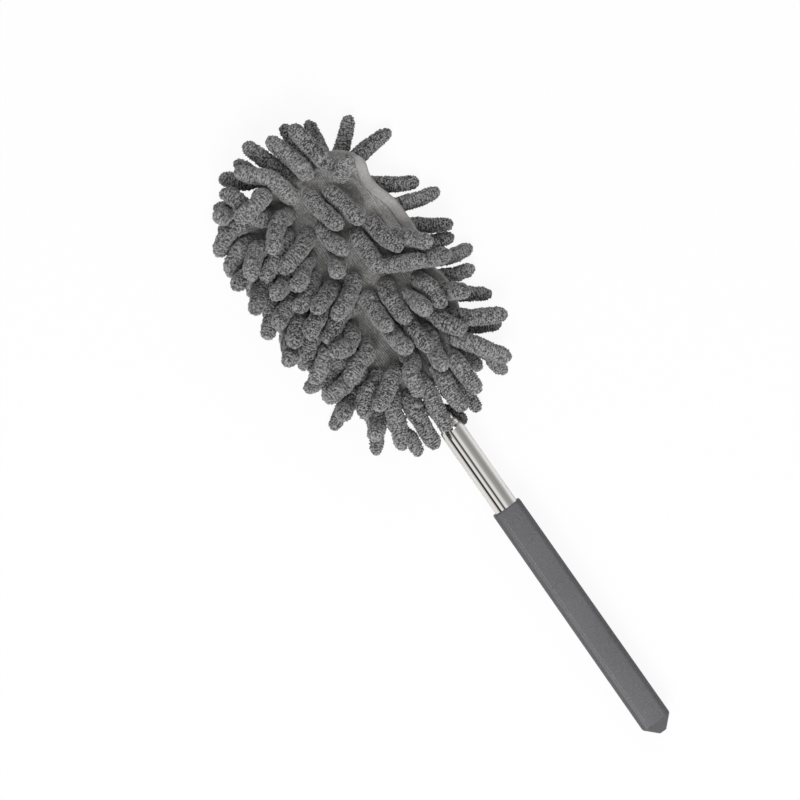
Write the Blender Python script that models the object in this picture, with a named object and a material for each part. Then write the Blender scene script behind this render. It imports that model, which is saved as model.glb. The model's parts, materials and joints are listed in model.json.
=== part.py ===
"""Telescopic car duster: a grip, a five-section pole, a flat paddle and a sleeve of chenille fingers.

The duster is modelled along +X from the grip's point to the head, about the pole's axis, in metres.
A root empty then lays it on the floor: the head is thicker than the grip, so the pole climbs slightly.
The origin of the finished model is the middle of its footprint, on the floor.
"""
import math

import bmesh
import bpy
import numpy as np
from mathutils import Vector

MM = 0.001

# Clearances
REST_GAP = 0.3 * MM            # between pieces that rest on or beside each other
FIT_GAP = 0.15 * MM            # between a bore and what is fixed in it
SLIP_GAP = 0.08 * MM           # between a section and the split collar that guides it
CUT_OVERRUN = 1.0 * MM         # how far a cutter reaches past what it cuts
SEGMENTS = 24                  # sides of every round piece, all at the same phase

# Grip
GRIP_LENGTH = 123.8 * MM
GRIP_POINT_LENGTH = 6.0 * MM
GRIP_POINT_WIDTH = 3.6 * MM
GRIP_POINT_DEPTH = 4.4 * MM
GRIP_END_WIDTH = 14.8 * MM
GRIP_POLE_WIDTH = 14.3 * MM
GRIP_DEPTH = 13.6 * MM
GRIP_CHAMFER = 1.7 * MM
GRIP_EDGE_ROUND = 0.8 * MM

# Telescopic pole
SECTION_RADII = (5.7 * MM, 4.85 * MM, 4.0 * MM, 3.15 * MM, 2.3 * MM)
TUBE_WALL = 0.4 * MM
TUBE_START = 26.0 * MM          # lower end of the fixed outer section, inside the grip
SECTION_1_TOP = 167.8 * MM
SECTION_STEPS = (3.0 * MM, 2.6 * MM, 2.8 * MM)   # how far each next mouth stands out
PLUG_LENGTH = 9.4 * MM
LIP_LENGTH = 1.5 * MM
FLARE_LENGTH = 0.8 * MM
COLLAR_LENGTH = 7.0 * MM
COLLAR_SWEEP_DEGREES = 330.0
BEAD_LENGTH = 0.8 * MM
BEAD_HEIGHT = 0.2 * MM

# Paddle, its neck and what holds the rod in it
NECK_SETBACK = 7.8 * MM         # of the neck past the last section's mouth
NECK_START = SECTION_1_TOP + sum(SECTION_STEPS) + NECK_SETBACK
NECK_LENGTH = 14.0 * MM
NECK_RADIUS = 3.5 * MM
NECK_BORE_DEPTH = 13.0 * MM
SHOULDER_LENGTH = 24.0 * MM
SHOULDER_THICKNESS = 4.0 * MM   # a third of the way up the shoulder
SHOULDER_FLAT_SHARE = 0.75      # of the shoulder, where it is as thin as the blade
SHOULDER_WIDTH_SHARE = 0.9      # of the blade's width, there
PADDLE_LENGTH = 108.0 * MM
BLADE_TOP = NECK_START + PADDLE_LENGTH
BLADE_HALF_WIDTH = 19.0 * MM
BLADE_THICKNESS = 2.6 * MM
BLADE_CORNER_LENGTH = 12.0 * MM
BLADE_TOP_HALF_WIDTH = 8.0 * MM
FERRULE_SETBACK = 0.6 * MM
FERRULE_LENGTH = 4.2 * MM
FERRULE_WALL = 0.65 * MM
PIN_RADIUS = 0.6 * MM
PIN_CLEARANCE = 0.2 * MM
PIN_FROM_NECK = 8.5 * MM        # along the pole from the neck's end
PIN_INSET = 0.2 * MM            # of each pin end below the neck's surface

# Sleeve
MOUTH_SETBACK = 6.0 * MM        # of the sleeve's mouth past the neck's end
SLEEVE_LENGTH = 112.0 * MM
SLEEVE_MOUTH = NECK_START + MOUTH_SETBACK
SLEEVE_TOP = SLEEVE_MOUTH + SLEEVE_LENGTH
SLEEVE_HALF_WIDTH = 38.0 * MM
MOUTH_HALF_WIDTH = 25.0 * MM
SLEEVE_WIDENING = 44.0 * MM     # length over which the mouth widens to the full width
SLEEVE_CORNER = 18.0 * MM
CLOTH_THICKNESS = 1.5 * MM
CHANNEL_CLEARANCE = 0.5 * MM    # round the blade
CHANNEL_SIDE_CLEARANCE = 1.8 * MM
CHANNEL_RAMP = 2.2 * MM         # from the channel's side to the flat wing
THROAT_CLEARANCE = 0.4 * MM     # round the neck
THROAT_RAMP = 3.4 * MM
BINDING_WIDTH = 4.2 * MM
BINDING_THICKNESS = 0.8 * MM
BINDING_CLEARANCE = 0.25 * MM
BINDING_SETBACK = 8.0 * MM      # past the sleeve's mouth
BINDING_START = SLEEVE_MOUTH + BINDING_SETBACK
MOUTH_TAPE_LENGTH = 2.5 * MM
MOUTH_TAPE_THICKNESS = 1.5 * MM
MOUTH_TAPE_CLEARANCE = 0.5 * MM
KEEP_OUT = 0.1 * MM             # between a finger and the other cloth or a tape
SPLINTER_THICKNESS = 0.01 * MM

# Chenille fingers
FINGER_RADIUS = 4.2 * MM        # over the pile, which sets how close two fingers lie
FINGER_BODY_RADIUS = 3.9 * MM
FINGER_TIP_RADIUS = 2.4 * MM
FINGER_LENGTH = 25.0 * MM
FINGER_ROOT_RADIUS = 2.2 * MM
FINGER_ROOT_SPACING = 7.0 * MM
FINGER_TIP_REACH = 1.0 * MM     # of the blunt end past the centre line's end
FINGER_SINK = 0.8 * MM          # of each root into the cloth
FINGER_SIDES = 5
FINGER_JOINTS = 6               # points along a finger's centre line
FINGER_LIFT = 5.0 * MM          # how far an upper layer starts above the one below
FIELD_START = SLEEVE_MOUTH + 6.0 * MM
FIELD_LENGTH = SLEEVE_TOP - FIELD_START - 4.0 * MM
SPREAD_STEPS = 40
SETTLE_STEPS = 120
EASE_STEPS = 60
LEVEL_SHARE = 0.7               # of a push apart that may go sideways while settling
HOLD_SHARE = 0.12               # of the way back to its photographed place, each step
SMOOTH_SHARE = 0.3              # of the way to a straight run, each step
STRETCH_SHARE = 0.5             # of a finger's wrong length mended, each step
ROOT_YIELD_SHARE = 0.4          # of a push that moves the first point past the root
FIRST_RISE_SHARE = 1.4          # of the radius, the first guess's rise from the cloth
BACK_RISE_SHARE = 0.75          # of the front's rise, on the back
ROOT_FULLNESS_SHARE = 0.92      # of the body's radius, just past the root

# How the duster lies
AXIS_TO_FLOOR_AT_HEAD = 15.0 * MM
MOUTH_TO_MIDDLE = 55.0 * MM
HEAD_MIDDLE = SLEEVE_MOUTH + MOUTH_TO_MIDDLE
FLOOR_CUT = 0.5 * MM            # the fingers that carry the head are flat this deep

COLOURS = {
    "grip_plastic": ((0.118, 0.115, 0.127), 0.62, 0.0),
    "stainless_steel": ((0.62, 0.60, 0.57), 0.16, 1.0),
    "spring_brass": ((0.55, 0.41, 0.18), 0.3, 1.0),
    "paddle_plastic": ((0.045, 0.045, 0.05), 0.5, 0.0),
    "plug_plastic": ((0.03, 0.03, 0.03), 0.55, 0.0),
    "sleeve_cloth": ((0.23, 0.225, 0.222), 0.9, 0.0),
    "chenille": ((0.17, 0.168, 0.172), 0.95, 0.0),
}

# Front fingers, read off by eye: where each root and each tip lies, in hundredths of the field of
# fingers along the pole and of the sleeve's half width across it, and the layer that it lies in.
FRONT_FINGER_SHARES = (
    (98, -14, 126, 7, 1), (99, -26, 122, -19, 1), (96, -58, 119, -50, 1), (98, 0, 121, 36, 1),
    (98, 16, 121, 55, 0), (96, 30, 113, 66, 0), (99, 20, 101, 74, 2), (94, 50, 94, 107, 0),
    (91, 56, 83, 103, 0), (87, 60, 77, 106, 1), (84, 52, 75, 97, 2), (94, 18, 76, 60, 3),
    (81, 14, 66, 60, 3), (76, 44, 65, 85, 2), (71, 70, 64, 110, 1), (63, 68, 52, 114, 1),
    (61, 54, 52, 97, 2), (61, 24, 53, 69, 3), (50, 60, 41, 96, 2), (47, 38, 40, 78, 3),
    (53, 2, 41, 47, 3), (54, 20, 47, 56, 1), (43, 72, 38, 110, 1), (36, 26, 31, 66, 3),
    (36, 50, 24, 103, 2), (37, 22, 34, 60, 2), (24, 22, 14, 73, 3), (20, 48, 11, 99, 2),
    (9, 58, 4, 96, 1), (12, 30, -2, 83, 2), (9, 14, -2, 70, 3), (2, 42, -11, 80, 1),
    (0, 28, -24, 62, 2), (-2, 20, -32, 25, 1), (-1, 6, -28, 8, 1), (12, -8, -10, 9, 3),
    (-1, -14, -25, -27, 1), (0, -48, -19, -51, 1), (16, -40, -6, -34, 2), (6, -66, -18, -105, 2),
    (12, -76, -1, -132, 1), (26, -74, 18, -106, 2), (36, -62, 19, -71, 3), (24, -56, 3, -80, 2),
    (26, -28, 5, -32, 2), (28, -8, 10, -18, 1), (42, -2, 23, -12, 3), (42, -36, 20, -38, 1),
    (48, -42, 40, -88, 2), (68, -38, 46, -40, 2), (69, -58, 49, -74, 2), (57, -74, 44, -102, 2),
    (42, -74, 36, -112, 1), (95, -18, 70, -24, 2), (78, -10, 62, -15, 1), (90, -46, 70, -52, 2),
    (92, -54, 94, -82, 1), (64, -8, 56, 6, 2), (34, -48, 20, -56, 1), (84, 34, 70, 82, 1),
    (28, 44, 18, 88, 1), (70, 20, 60, 60, 2), (104, 36, 107, 82, 0), (40, 46, 30, 90, 1),
)

# Back fingers that show past the sleeve's edge from the front, in the same shares.
BACK_SHOWN_SHARES = (
    (98, -40, 124, -43, 0), (97, -60, 116, -68, 0), (94, -68, 111, -115, 0), (94, -80, 95, -132, 0),
    (82, -82, 68, -135, 0), (68, -84, 61, -150, 0), (57, -84, 45, -137, 0), (46, -84, 41, -113, 1),
    (38, -84, 32, -138, 0), (31, -80, 28, -115, 1), (25, -82, 11, -127, 0), (8, -72, -1, -110, 0),
    (-2, -56, -19, -89, 0), (-2, -30, -28, -40, 0), (-3, -16, -30, -17, 0), (-3, 34, -30, 49, 0),
    (0, 50, -17, 87, 0), (12, 66, 5, 97, 0), (24, 74, 21, 106, 0), (35, 76, 31, 99, 0),
    (50, 78, 45, 104, 0), (61, 80, 56, 104, 0), (75, 80, 71, 103, 0), (86, 76, 82, 102, 0),
    (95, 62, 102, 88, 0), (98, 4, 123, 28, 0), (98, 34, 110, 74, 0), (18, 72, 14, 99, 1),
)

# Rows of fingers on the rest of the back: place along the field, and the places across it.
BACK_ROW_SHARES = (
    (84, (-38, -10, 18)), (66, (-50, -24, 2, 28, 52)), (46, (-46, -20, 6, 32)),
    (27, (-50, -24, 2, 28, 52)), (8, (-36, -10, 16)),
)
BACK_ROW_LEAN_SHARE = 22        # how far along the field a back finger trails towards the mouth
BACK_ROW_SPREAD_SHARE = 12      # and how far it leans out from the middle


def clear_scene():
    """Removes every object of the scene."""
    for old in list(bpy.data.objects):
        bpy.data.objects.remove(old, do_unlink=True)


def make_materials():
    """One Principled material for each finish."""
    made = {}
    for name, (colour, roughness, metallic) in COLOURS.items():
        material = bpy.data.materials.new(name)
        material.use_nodes = True
        shader = material.node_tree.nodes["Principled BSDF"]
        shader.inputs["Base Color"].default_value = (*colour, 1.0)
        shader.inputs["Roughness"].default_value = roughness
        shader.inputs["Metallic"].default_value = metallic
        made[name] = material
    return made


def lofted(rings, closed=False):
    """Mesh data through rings of equally many points: capped at both ends, or closed on itself."""
    shell = bmesh.new()
    rows = [[shell.verts.new(point) for point in ring] for ring in rings]
    count = len(rings[0])
    pairs = list(zip(rows[:-1], rows[1:]))
    if closed:
        pairs.append((rows[-1], rows[0]))
    for lower, upper in pairs:
        for i in range(count):
            j = (i + 1) % count
            shell.faces.new((lower[i], lower[j], upper[j], upper[i]))
    if not closed:
        shell.faces.new(reversed(rows[0]))
        shell.faces.new(rows[-1])
    bmesh.ops.recalc_face_normals(shell, faces=shell.faces)
    data = bpy.data.meshes.new("shape")
    shell.to_mesh(data)
    shell.free()
    return data


def circle(x, radius, count=SEGMENTS):
    """Points of a circle about the pole's axis."""
    turns = [2.0 * math.pi * i / count for i in range(count)]
    return [(x, radius * math.cos(turn), radius * math.sin(turn)) for turn in turns]


def turned(profile):
    """Mesh data of a closed profile of (x, radius) points turned round the pole's axis."""
    return lofted([circle(x, radius) for x, radius in profile], closed=True)


def add_piece(name, data, material, parent, origin=(0.0, 0.0, 0.0)):
    """An object whose origin is moved to a point of its own, without moving its shape."""
    data.name = name
    for vertex in data.vertices:
        vertex.co -= Vector(origin)
    data.materials.append(material)
    piece = bpy.data.objects.new(name, data)
    piece.location = origin
    piece.parent = parent
    bpy.context.collection.objects.link(piece)
    return piece


def add_guide(name, data, parent):
    """A hidden solid that other pieces are joined to or cut with."""
    guide = bpy.data.objects.new(name, data)
    guide.parent = parent
    guide.hide_render = True
    guide.display_type = "WIRE"
    bpy.context.collection.objects.link(guide)
    return guide


def shade_round(piece):
    """Smooth shading with sharp corners kept."""
    piece.data.shade_smooth()
    piece.data.set_sharp_from_angle(angle=math.radians(35.0))


def chamfered_section(x, width, depth, chamfer):
    """A rectangle with cut corners, as many points as a round bore, matched to it by angle."""
    half_width = width / 2.0
    half_depth = depth / 2.0
    corner = half_width + half_depth - chamfer
    points = []
    for i in range(SEGMENTS):
        turn = 2.0 * math.pi * i / SEGMENTS
        cosine, sine = math.cos(turn), math.sin(turn)
        reach = min(
            half_width / max(abs(cosine), 1e-9),
            half_depth / max(abs(sine), 1e-9),
            corner / (abs(cosine) + abs(sine)),
        )
        points.append((x, reach * cosine, reach * sine))
    return points


def grip_width(x):
    """The grip narrows evenly from its pointed end to the pole."""
    share = (x - GRIP_POINT_LENGTH) / (GRIP_LENGTH - GRIP_POINT_LENGTH)
    return GRIP_END_WIDTH + (GRIP_POLE_WIDTH - GRIP_END_WIDTH) * share


def make_grip(material, root):
    """The moulded grip: a chamfered bar with a pointed end, bored for the outer section."""
    bore = SECTION_RADII[0] + FIT_GAP
    round_start = GRIP_LENGTH - GRIP_EDGE_ROUND
    end_width = grip_width(GRIP_LENGTH) - 2.0 * GRIP_EDGE_ROUND
    end_depth = GRIP_DEPTH - GRIP_EDGE_ROUND
    point_chamfer = GRIP_CHAMFER * GRIP_POINT_WIDTH / GRIP_END_WIDTH
    rings = [
        chamfered_section(0.0, GRIP_POINT_WIDTH, GRIP_POINT_DEPTH, point_chamfer),
        chamfered_section(GRIP_POINT_LENGTH, GRIP_END_WIDTH, GRIP_DEPTH, GRIP_CHAMFER),
        chamfered_section(round_start, grip_width(round_start), GRIP_DEPTH, GRIP_CHAMFER),
        chamfered_section(GRIP_LENGTH, end_width, end_depth, GRIP_CHAMFER),
        circle(GRIP_LENGTH, bore),
        circle(TUBE_START - REST_GAP, bore),
    ]
    grip = add_piece("grip", lofted(rings), material, root)
    grip.data.set_sharp_from_angle(angle=math.radians(20.0))
    return grip


def section_bottom(index):
    """Lower end of a section: the outer one in the grip, the others on the plug."""
    if index == 0:
        return TUBE_START
    return TUBE_START + REST_GAP + PLUG_LENGTH + REST_GAP


def section_top(index):
    """Upper end of a section; the last one ends inside the paddle's neck."""
    if index == len(SECTION_RADII) - 1:
        return NECK_START + NECK_BORE_DEPTH - REST_GAP
    return SECTION_1_TOP + sum(SECTION_STEPS[:index])


def make_section(index, material, parent):
    """One drawn tube: flared foot, bead that keeps its collar, and a mouth rolled in to the next."""
    last = len(SECTION_RADII) - 1
    outer = SECTION_RADII[index]
    inner = outer - TUBE_WALL
    bottom = section_bottom(index)
    top = section_top(index)
    profile = []
    if index > 0:
        flare = SECTION_RADII[index - 1] - TUBE_WALL - FIT_GAP
        collar_top = bottom + FLARE_LENGTH + REST_GAP + COLLAR_LENGTH
        bead = collar_top + REST_GAP
        bead_middle = bead + BEAD_LENGTH / 2.0
        profile += [(bottom, flare), (bottom + FLARE_LENGTH, flare), (bottom + FLARE_LENGTH, outer)]
        profile += [(bead, outer), (bead_middle, outer + BEAD_HEIGHT), (bead + BEAD_LENGTH, outer)]
    else:
        profile += [(bottom, outer)]
    if index < last:
        lip = SECTION_RADII[index + 1] + FIT_GAP
        profile += [(top - LIP_LENGTH, outer), (top, lip + TUBE_WALL), (top, lip)]
        profile += [(top - LIP_LENGTH, inner)]
    else:
        profile += [(top, outer), (top, inner)]
    profile += [(bottom, inner)]
    tube = add_piece(f"section_{index + 1}_tube", turned(profile), material, parent, (bottom, 0.0, 0.0))
    shade_round(tube)
    return tube


def make_collar(index, material, parent):
    """A split spring collar between a section's foot and bead, running in the section outside it."""
    inner = SECTION_RADII[index] + SLIP_GAP
    outer = SECTION_RADII[index - 1] - TUBE_WALL - SLIP_GAP
    start = section_bottom(index) + FLARE_LENGTH + REST_GAP / 2.0
    end = start + COLLAR_LENGTH
    steps = round(SEGMENTS * COLLAR_SWEEP_DEGREES / 360.0)
    rings = []
    for i in range(steps + 1):
        turn = 2.0 * math.pi * i / SEGMENTS
        cosine, sine = math.cos(turn), math.sin(turn)
        corners = ((start, inner), (start, outer), (end, outer), (end, inner))
        rings.append([(x, radius * cosine, radius * sine) for x, radius in corners])
    collar = add_piece(f"section_{index + 1}_collar", lofted(rings), material, parent, (start, 0.0, 0.0))
    shade_round(collar)
    return collar


def make_plug(material, root):
    """The plug in the outer section's lower end, which the pushed-in sections stand on."""
    radius = SECTION_RADII[0] - TUBE_WALL - FIT_GAP
    start = TUBE_START + REST_GAP
    rings = [circle(start, radius), circle(start + PLUG_LENGTH, radius)]
    plug = add_piece("tube_plug", lofted(rings), material, root)
    shade_round(plug)
    return plug


def ellipse(x, half_width, half_thickness):
    """Points of an ellipse across the pole, matched to the round rings."""
    turns = [2.0 * math.pi * i / SEGMENTS for i in range(SEGMENTS)]
    return [(x, half_width * math.cos(turn), half_thickness * math.sin(turn)) for turn in turns]


def flat_section(x, half_width, half_thickness):
    """A flat bar's section with rounded edges, matched to the round rings."""
    points = []
    for i in range(SEGMENTS):
        turn = 2.0 * math.pi * i / SEGMENTS
        cosine, sine = math.cos(turn), math.sin(turn)
        across = math.copysign(abs(cosine) ** 0.8, cosine)
        through = math.copysign(min(1.0, abs(sine) * 1.6), sine)
        points.append((x, half_width * across, half_thickness * through))
    return points


def pin_place():
    """Where the cross pin passes through the neck."""
    return NECK_START + PIN_FROM_NECK


def make_pin_cutter(root):
    """The drill that opens the pin's hole through the neck and the rod."""
    depth = 2.0 * (NECK_RADIUS + CUT_OVERRUN)
    drill = bmesh.new()
    radius = PIN_RADIUS + PIN_CLEARANCE
    bmesh.ops.create_cone(drill, cap_ends=True, segments=12, radius1=radius, radius2=radius, depth=depth)
    data = bpy.data.meshes.new("pin_hole_cutter")
    drill.to_mesh(data)
    drill.free()
    cutter = add_guide("pin_hole_cutter", data, root)
    cutter.location = (pin_place(), 0.0, 0.0)
    return cutter


def cut(piece, cutter):
    """Opens a hole with a cutter."""
    hole = piece.modifiers.new("hole", "BOOLEAN")
    hole.operation = "DIFFERENCE"
    hole.solver = "EXACT"
    hole.object = cutter


def make_paddle(material, parent):
    """The flexible paddle: a bored round neck that spreads into a flat blade with a rounded top."""
    bore = SECTION_RADII[-1] + FIT_GAP
    neck_end = NECK_START + NECK_LENGTH
    shoulder_middle = neck_end + SHOULDER_LENGTH / 3.0
    shoulder_flat = neck_end + SHOULDER_LENGTH * SHOULDER_FLAT_SHARE
    shoulder_end = neck_end + SHOULDER_LENGTH
    corner_start = BLADE_TOP - BLADE_CORNER_LENGTH
    half_thickness = BLADE_THICKNESS / 2.0
    middle_width = (NECK_RADIUS + BLADE_HALF_WIDTH) / 2.0
    corner_width = BLADE_HALF_WIDTH - BLADE_TOP_HALF_WIDTH
    rings = [
        circle(NECK_START + NECK_BORE_DEPTH, bore),
        circle(NECK_START, bore),
        circle(NECK_START, NECK_RADIUS),
        circle(neck_end, NECK_RADIUS),
        ellipse(shoulder_middle, middle_width, SHOULDER_THICKNESS / 2.0),
        flat_section(shoulder_flat, BLADE_HALF_WIDTH * SHOULDER_WIDTH_SHARE, half_thickness),
        flat_section(shoulder_end, BLADE_HALF_WIDTH, half_thickness),
    ]
    for share in (0.0, 0.4, 0.7, 0.9, 1.0):
        width = BLADE_TOP_HALF_WIDTH + corner_width * math.sqrt(1.0 - share * share)
        rings.append(flat_section(corner_start + BLADE_CORNER_LENGTH * share, width, half_thickness))
    paddle = add_piece("paddle", lofted(rings), material, parent, (NECK_START, 0.0, 0.0))
    shade_round(paddle)
    return paddle


def make_ferrule(material, parent):
    """The band crimped round the neck's lower end."""
    inner = NECK_RADIUS + FIT_GAP
    outer = inner + FERRULE_WALL
    start = NECK_START + FERRULE_SETBACK
    end = start + FERRULE_LENGTH
    edge = FERRULE_WALL / 3.0
    profile = [
        (start, inner), (start, outer - edge), (start + edge, outer),
        (end - edge, outer), (end, outer - edge), (end, inner),
    ]
    ferrule = add_piece("neck_ferrule", turned(profile), material, parent, (start, 0.0, 0.0))
    shade_round(ferrule)
    return ferrule


def make_pin(material, parent):
    """The cross pin that ties the rod to the neck."""
    half = NECK_RADIUS - PIN_INSET
    rings = []
    for z in (-half, half):
        turns = [2.0 * math.pi * i / 12 for i in range(12)]
        rings.append([(pin_place() + PIN_RADIUS * math.cos(t), PIN_RADIUS * math.sin(t), z) for t in turns])
    pin = add_piece("neck_pin", lofted(rings), material, parent, (pin_place(), 0.0, 0.0))
    shade_round(pin)
    return pin


def sleeve_half_width(x):
    """The sleeve's outline: it widens from the mouth and ends in a straight top with round corners."""
    x = np.asarray(x, dtype=float)
    share = np.clip((x - SLEEVE_MOUTH) / SLEEVE_WIDENING, 0.0, 1.0)
    width = MOUTH_HALF_WIDTH + (SLEEVE_HALF_WIDTH - MOUTH_HALF_WIDTH) * np.sin(share * math.pi / 2.0)
    past = np.clip((x - (SLEEVE_TOP - SLEEVE_CORNER)) / SLEEVE_CORNER, 0.0, 1.0)
    return width - SLEEVE_CORNER * (1.0 - np.sqrt(1.0 - past * past))


CHANNEL_HALF_WIDTH = BLADE_HALF_WIDTH + CHANNEL_SIDE_CLEARANCE
CHANNEL_HALF_HEIGHT = BLADE_THICKNESS / 2.0 + CHANNEL_CLEARANCE
THROAT_HALF_WIDTH = NECK_RADIUS + 2.0 * THROAT_CLEARANCE
THROAT_HALF_HEIGHT = NECK_RADIUS + THROAT_CLEARANCE
CHANNEL_END = BLADE_TOP + CHANNEL_SIDE_CLEARANCE
WING_GAP = REST_GAP / 2.0
MOUTH_TAPE_TOP = NECK_RADIUS + FIT_GAP + FERRULE_WALL + MOUTH_TAPE_CLEARANCE + MOUTH_TAPE_THICKNESS


def channel_height(x, y):
    """Half the height of the space between the two cloths: the blade's channel and the neck's throat."""
    x = np.asarray(x, dtype=float)
    out = np.abs(np.asarray(y, dtype=float))
    neck_end = NECK_START + NECK_LENGTH
    fall = np.clip((x - neck_end) / (SHOULDER_LENGTH * SHOULDER_FLAT_SHARE), 0.0, 1.0)
    throat = THROAT_HALF_HEIGHT + (CHANNEL_HALF_HEIGHT - THROAT_HALF_HEIGHT) * fall
    beside = np.clip((out - THROAT_HALF_WIDTH) / THROAT_RAMP, 0.0, 1.0)
    height = throat + (CHANNEL_HALF_HEIGHT - throat) * beside
    side = np.clip((out - CHANNEL_HALF_WIDTH) / CHANNEL_RAMP, 0.0, 1.0)
    end = np.clip((x - CHANNEL_END) / CHANNEL_RAMP, 0.0, 1.0)
    shut = np.maximum(side, end)
    return height + (WING_GAP - height) * shut


def cover_height(x, y):
    """Height of the sleeve's outer surface over the middle plane, with the side bindings on it."""
    x = np.asarray(x, dtype=float)
    out = np.abs(np.asarray(y, dtype=float))
    edge = sleeve_half_width(x)
    cloth = channel_height(x, y) + CLOTH_THICKNESS
    binding = WING_GAP + CLOTH_THICKNESS + BINDING_CLEARANCE + BINDING_THICKNESS
    straight = (x > BINDING_START) & (x < SLEEVE_TOP - SLEEVE_CORNER)
    on_binding = straight & (out > edge - BINDING_WIDTH)
    height = np.where(on_binding, np.maximum(cloth, binding), cloth)
    reach = edge + BINDING_CLEARANCE + BINDING_THICKNESS
    inside = (x > SLEEVE_MOUTH) & (x < SLEEVE_TOP) & (out < reach)
    before = (x <= SLEEVE_MOUTH) & (out < MOUTH_HALF_WIDTH)
    height = np.where(before, MOUTH_TAPE_TOP, height)
    return np.where(inside | before, height, -1.0)


def floor_height(x):
    """Height of the floor under the pole's axis, which climbs from the grip to the head."""
    grip_side = -GRIP_DEPTH / 2.0
    slope = (AXIS_TO_FLOOR_AT_HEAD + grip_side) / (HEAD_MIDDLE - GRIP_POINT_LENGTH)
    return grip_side - slope * (np.asarray(x, dtype=float) - GRIP_POINT_LENGTH)


def field_point(along, across):
    """A place given in hundredths of the field of fingers."""
    return FIELD_START + FIELD_LENGTH * along / 100.0, SLEEVE_HALF_WIDTH * across / 100.0


def inside_cloth(x, y):
    """Draws a finger's root in from the sleeve's edges and bindings."""
    margin = FINGER_ROOT_RADIUS + REST_GAP
    x = min(max(x, SLEEVE_MOUTH + margin), SLEEVE_TOP - margin)
    limit = float(sleeve_half_width(x)) - margin
    if BINDING_START - margin < x < SLEEVE_TOP - SLEEVE_CORNER + margin:
        limit -= BINDING_WIDTH
    return x, max(-limit, min(limit, y))


def list_fingers():
    """Every finger: root and tip in plan, the side of the sleeve (1 front, -1 back) and its layer."""
    fingers = []
    for rows, side in ((FRONT_FINGER_SHARES, 1.0), (BACK_SHOWN_SHARES, -1.0)):
        for root_along, root_across, tip_along, tip_across, layer in rows:
            root = inside_cloth(*field_point(root_along, root_across))
            fingers.append([root, field_point(tip_along, tip_across), side, layer])
    for along, places in BACK_ROW_SHARES:
        for across in places:
            root = inside_cloth(*field_point(along, across))
            lean = math.copysign(BACK_ROW_SPREAD_SHARE, across)
            tip = field_point(along - BACK_ROW_LEAN_SHARE, across + lean)
            fingers.append([root, tip, -1.0, 0])
    spread_roots(fingers)
    return fingers


def spread_roots(fingers):
    """Moves roots of one side that stand too close together away from each other."""
    for _ in range(SPREAD_STEPS):
        for i, first in enumerate(fingers):
            for second in fingers[:i]:
                across = (first[0][0] - second[0][0], first[0][1] - second[0][1])
                apart = max(math.hypot(*across), REST_GAP)
                if first[2] != second[2] or apart >= FINGER_ROOT_SPACING:
                    continue
                push = (FINGER_ROOT_SPACING - apart) * 0.5 / apart
                step = (across[0] * push, across[1] * push)
                first[0] = inside_cloth(first[0][0] + step[0], first[0][1] + step[1])
                second[0] = inside_cloth(second[0][0] - step[0], second[0][1] - step[1])


def first_guess(fingers):
    """Straight centre lines over their places in plan, rising from the cloth by layer."""
    lines = np.zeros((len(fingers), FINGER_JOINTS, 3))
    for index, (root, tip, side, layer) in enumerate(fingers):
        start = np.array(root)
        end = np.array(tip)
        reach = np.linalg.norm(end - start)
        end = end - (end - start) * (FINGER_TIP_REACH / reach)
        base = float(cover_height(*root)) - FINGER_SINK
        for joint in range(FINGER_JOINTS):
            share = joint / (FINGER_JOINTS - 1)
            lines[index, joint, :2] = start + (end - start) * share
            rise = FINGER_RADIUS * FIRST_RISE_SHARE * math.sin(min(1.0, share * 2.0) * math.pi / 2.0)
            rise += FINGER_LIFT * layer * share
            if side < 0.0:
                rise = rise * BACK_RISE_SHARE
            lines[index, joint, 2] = side * (base + rise)
    return lines


def push_apart(lines, movable, level_share):
    """Moves touching stretches of different fingers away from each other by half the overlap each."""
    count, joints, _ = lines.shape
    middles = (lines[:, :-1] + lines[:, 1:]) / 2.0
    samples = np.concatenate((lines[:, 1:], middles), axis=1)
    per_finger = samples.shape[1]
    flat = samples.reshape(-1, 3)
    owner = np.repeat(np.arange(count), per_finger)
    square = (flat ** 2).sum(axis=1)
    apart = square[:, None] + square[None, :] - 2.0 * flat @ flat.T
    limit = 2.0 * FINGER_RADIUS + REST_GAP
    near = (apart < limit * limit) & (owner[:, None] < owner[None, :])
    first, second = np.nonzero(near)
    if len(first) == 0:
        return
    gap = flat[first] - flat[second]
    distance = np.linalg.norm(gap, axis=1)
    distance = np.maximum(distance, FINGER_RADIUS / 50.0)
    push = gap / distance[:, None] * ((limit - distance) * 0.5)[:, None]
    push[:, :2] *= level_share
    shift = np.zeros_like(flat)
    hits = np.zeros(len(flat))
    np.add.at(shift, first, push)
    np.add.at(shift, second, -push)
    np.add.at(hits, first, 1.0)
    np.add.at(hits, second, 1.0)
    shift /= np.maximum(1.0, hits * 0.6)[:, None]
    shift = shift.reshape(count, per_finger, 3)
    moved = np.zeros_like(lines)
    moved[:, 1:] += shift[:, :joints - 1]
    moved[:, :-1] += shift[:, joints - 1:] * 0.5
    moved[:, 1:] += shift[:, joints - 1:] * 0.5
    lines += moved * movable


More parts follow.
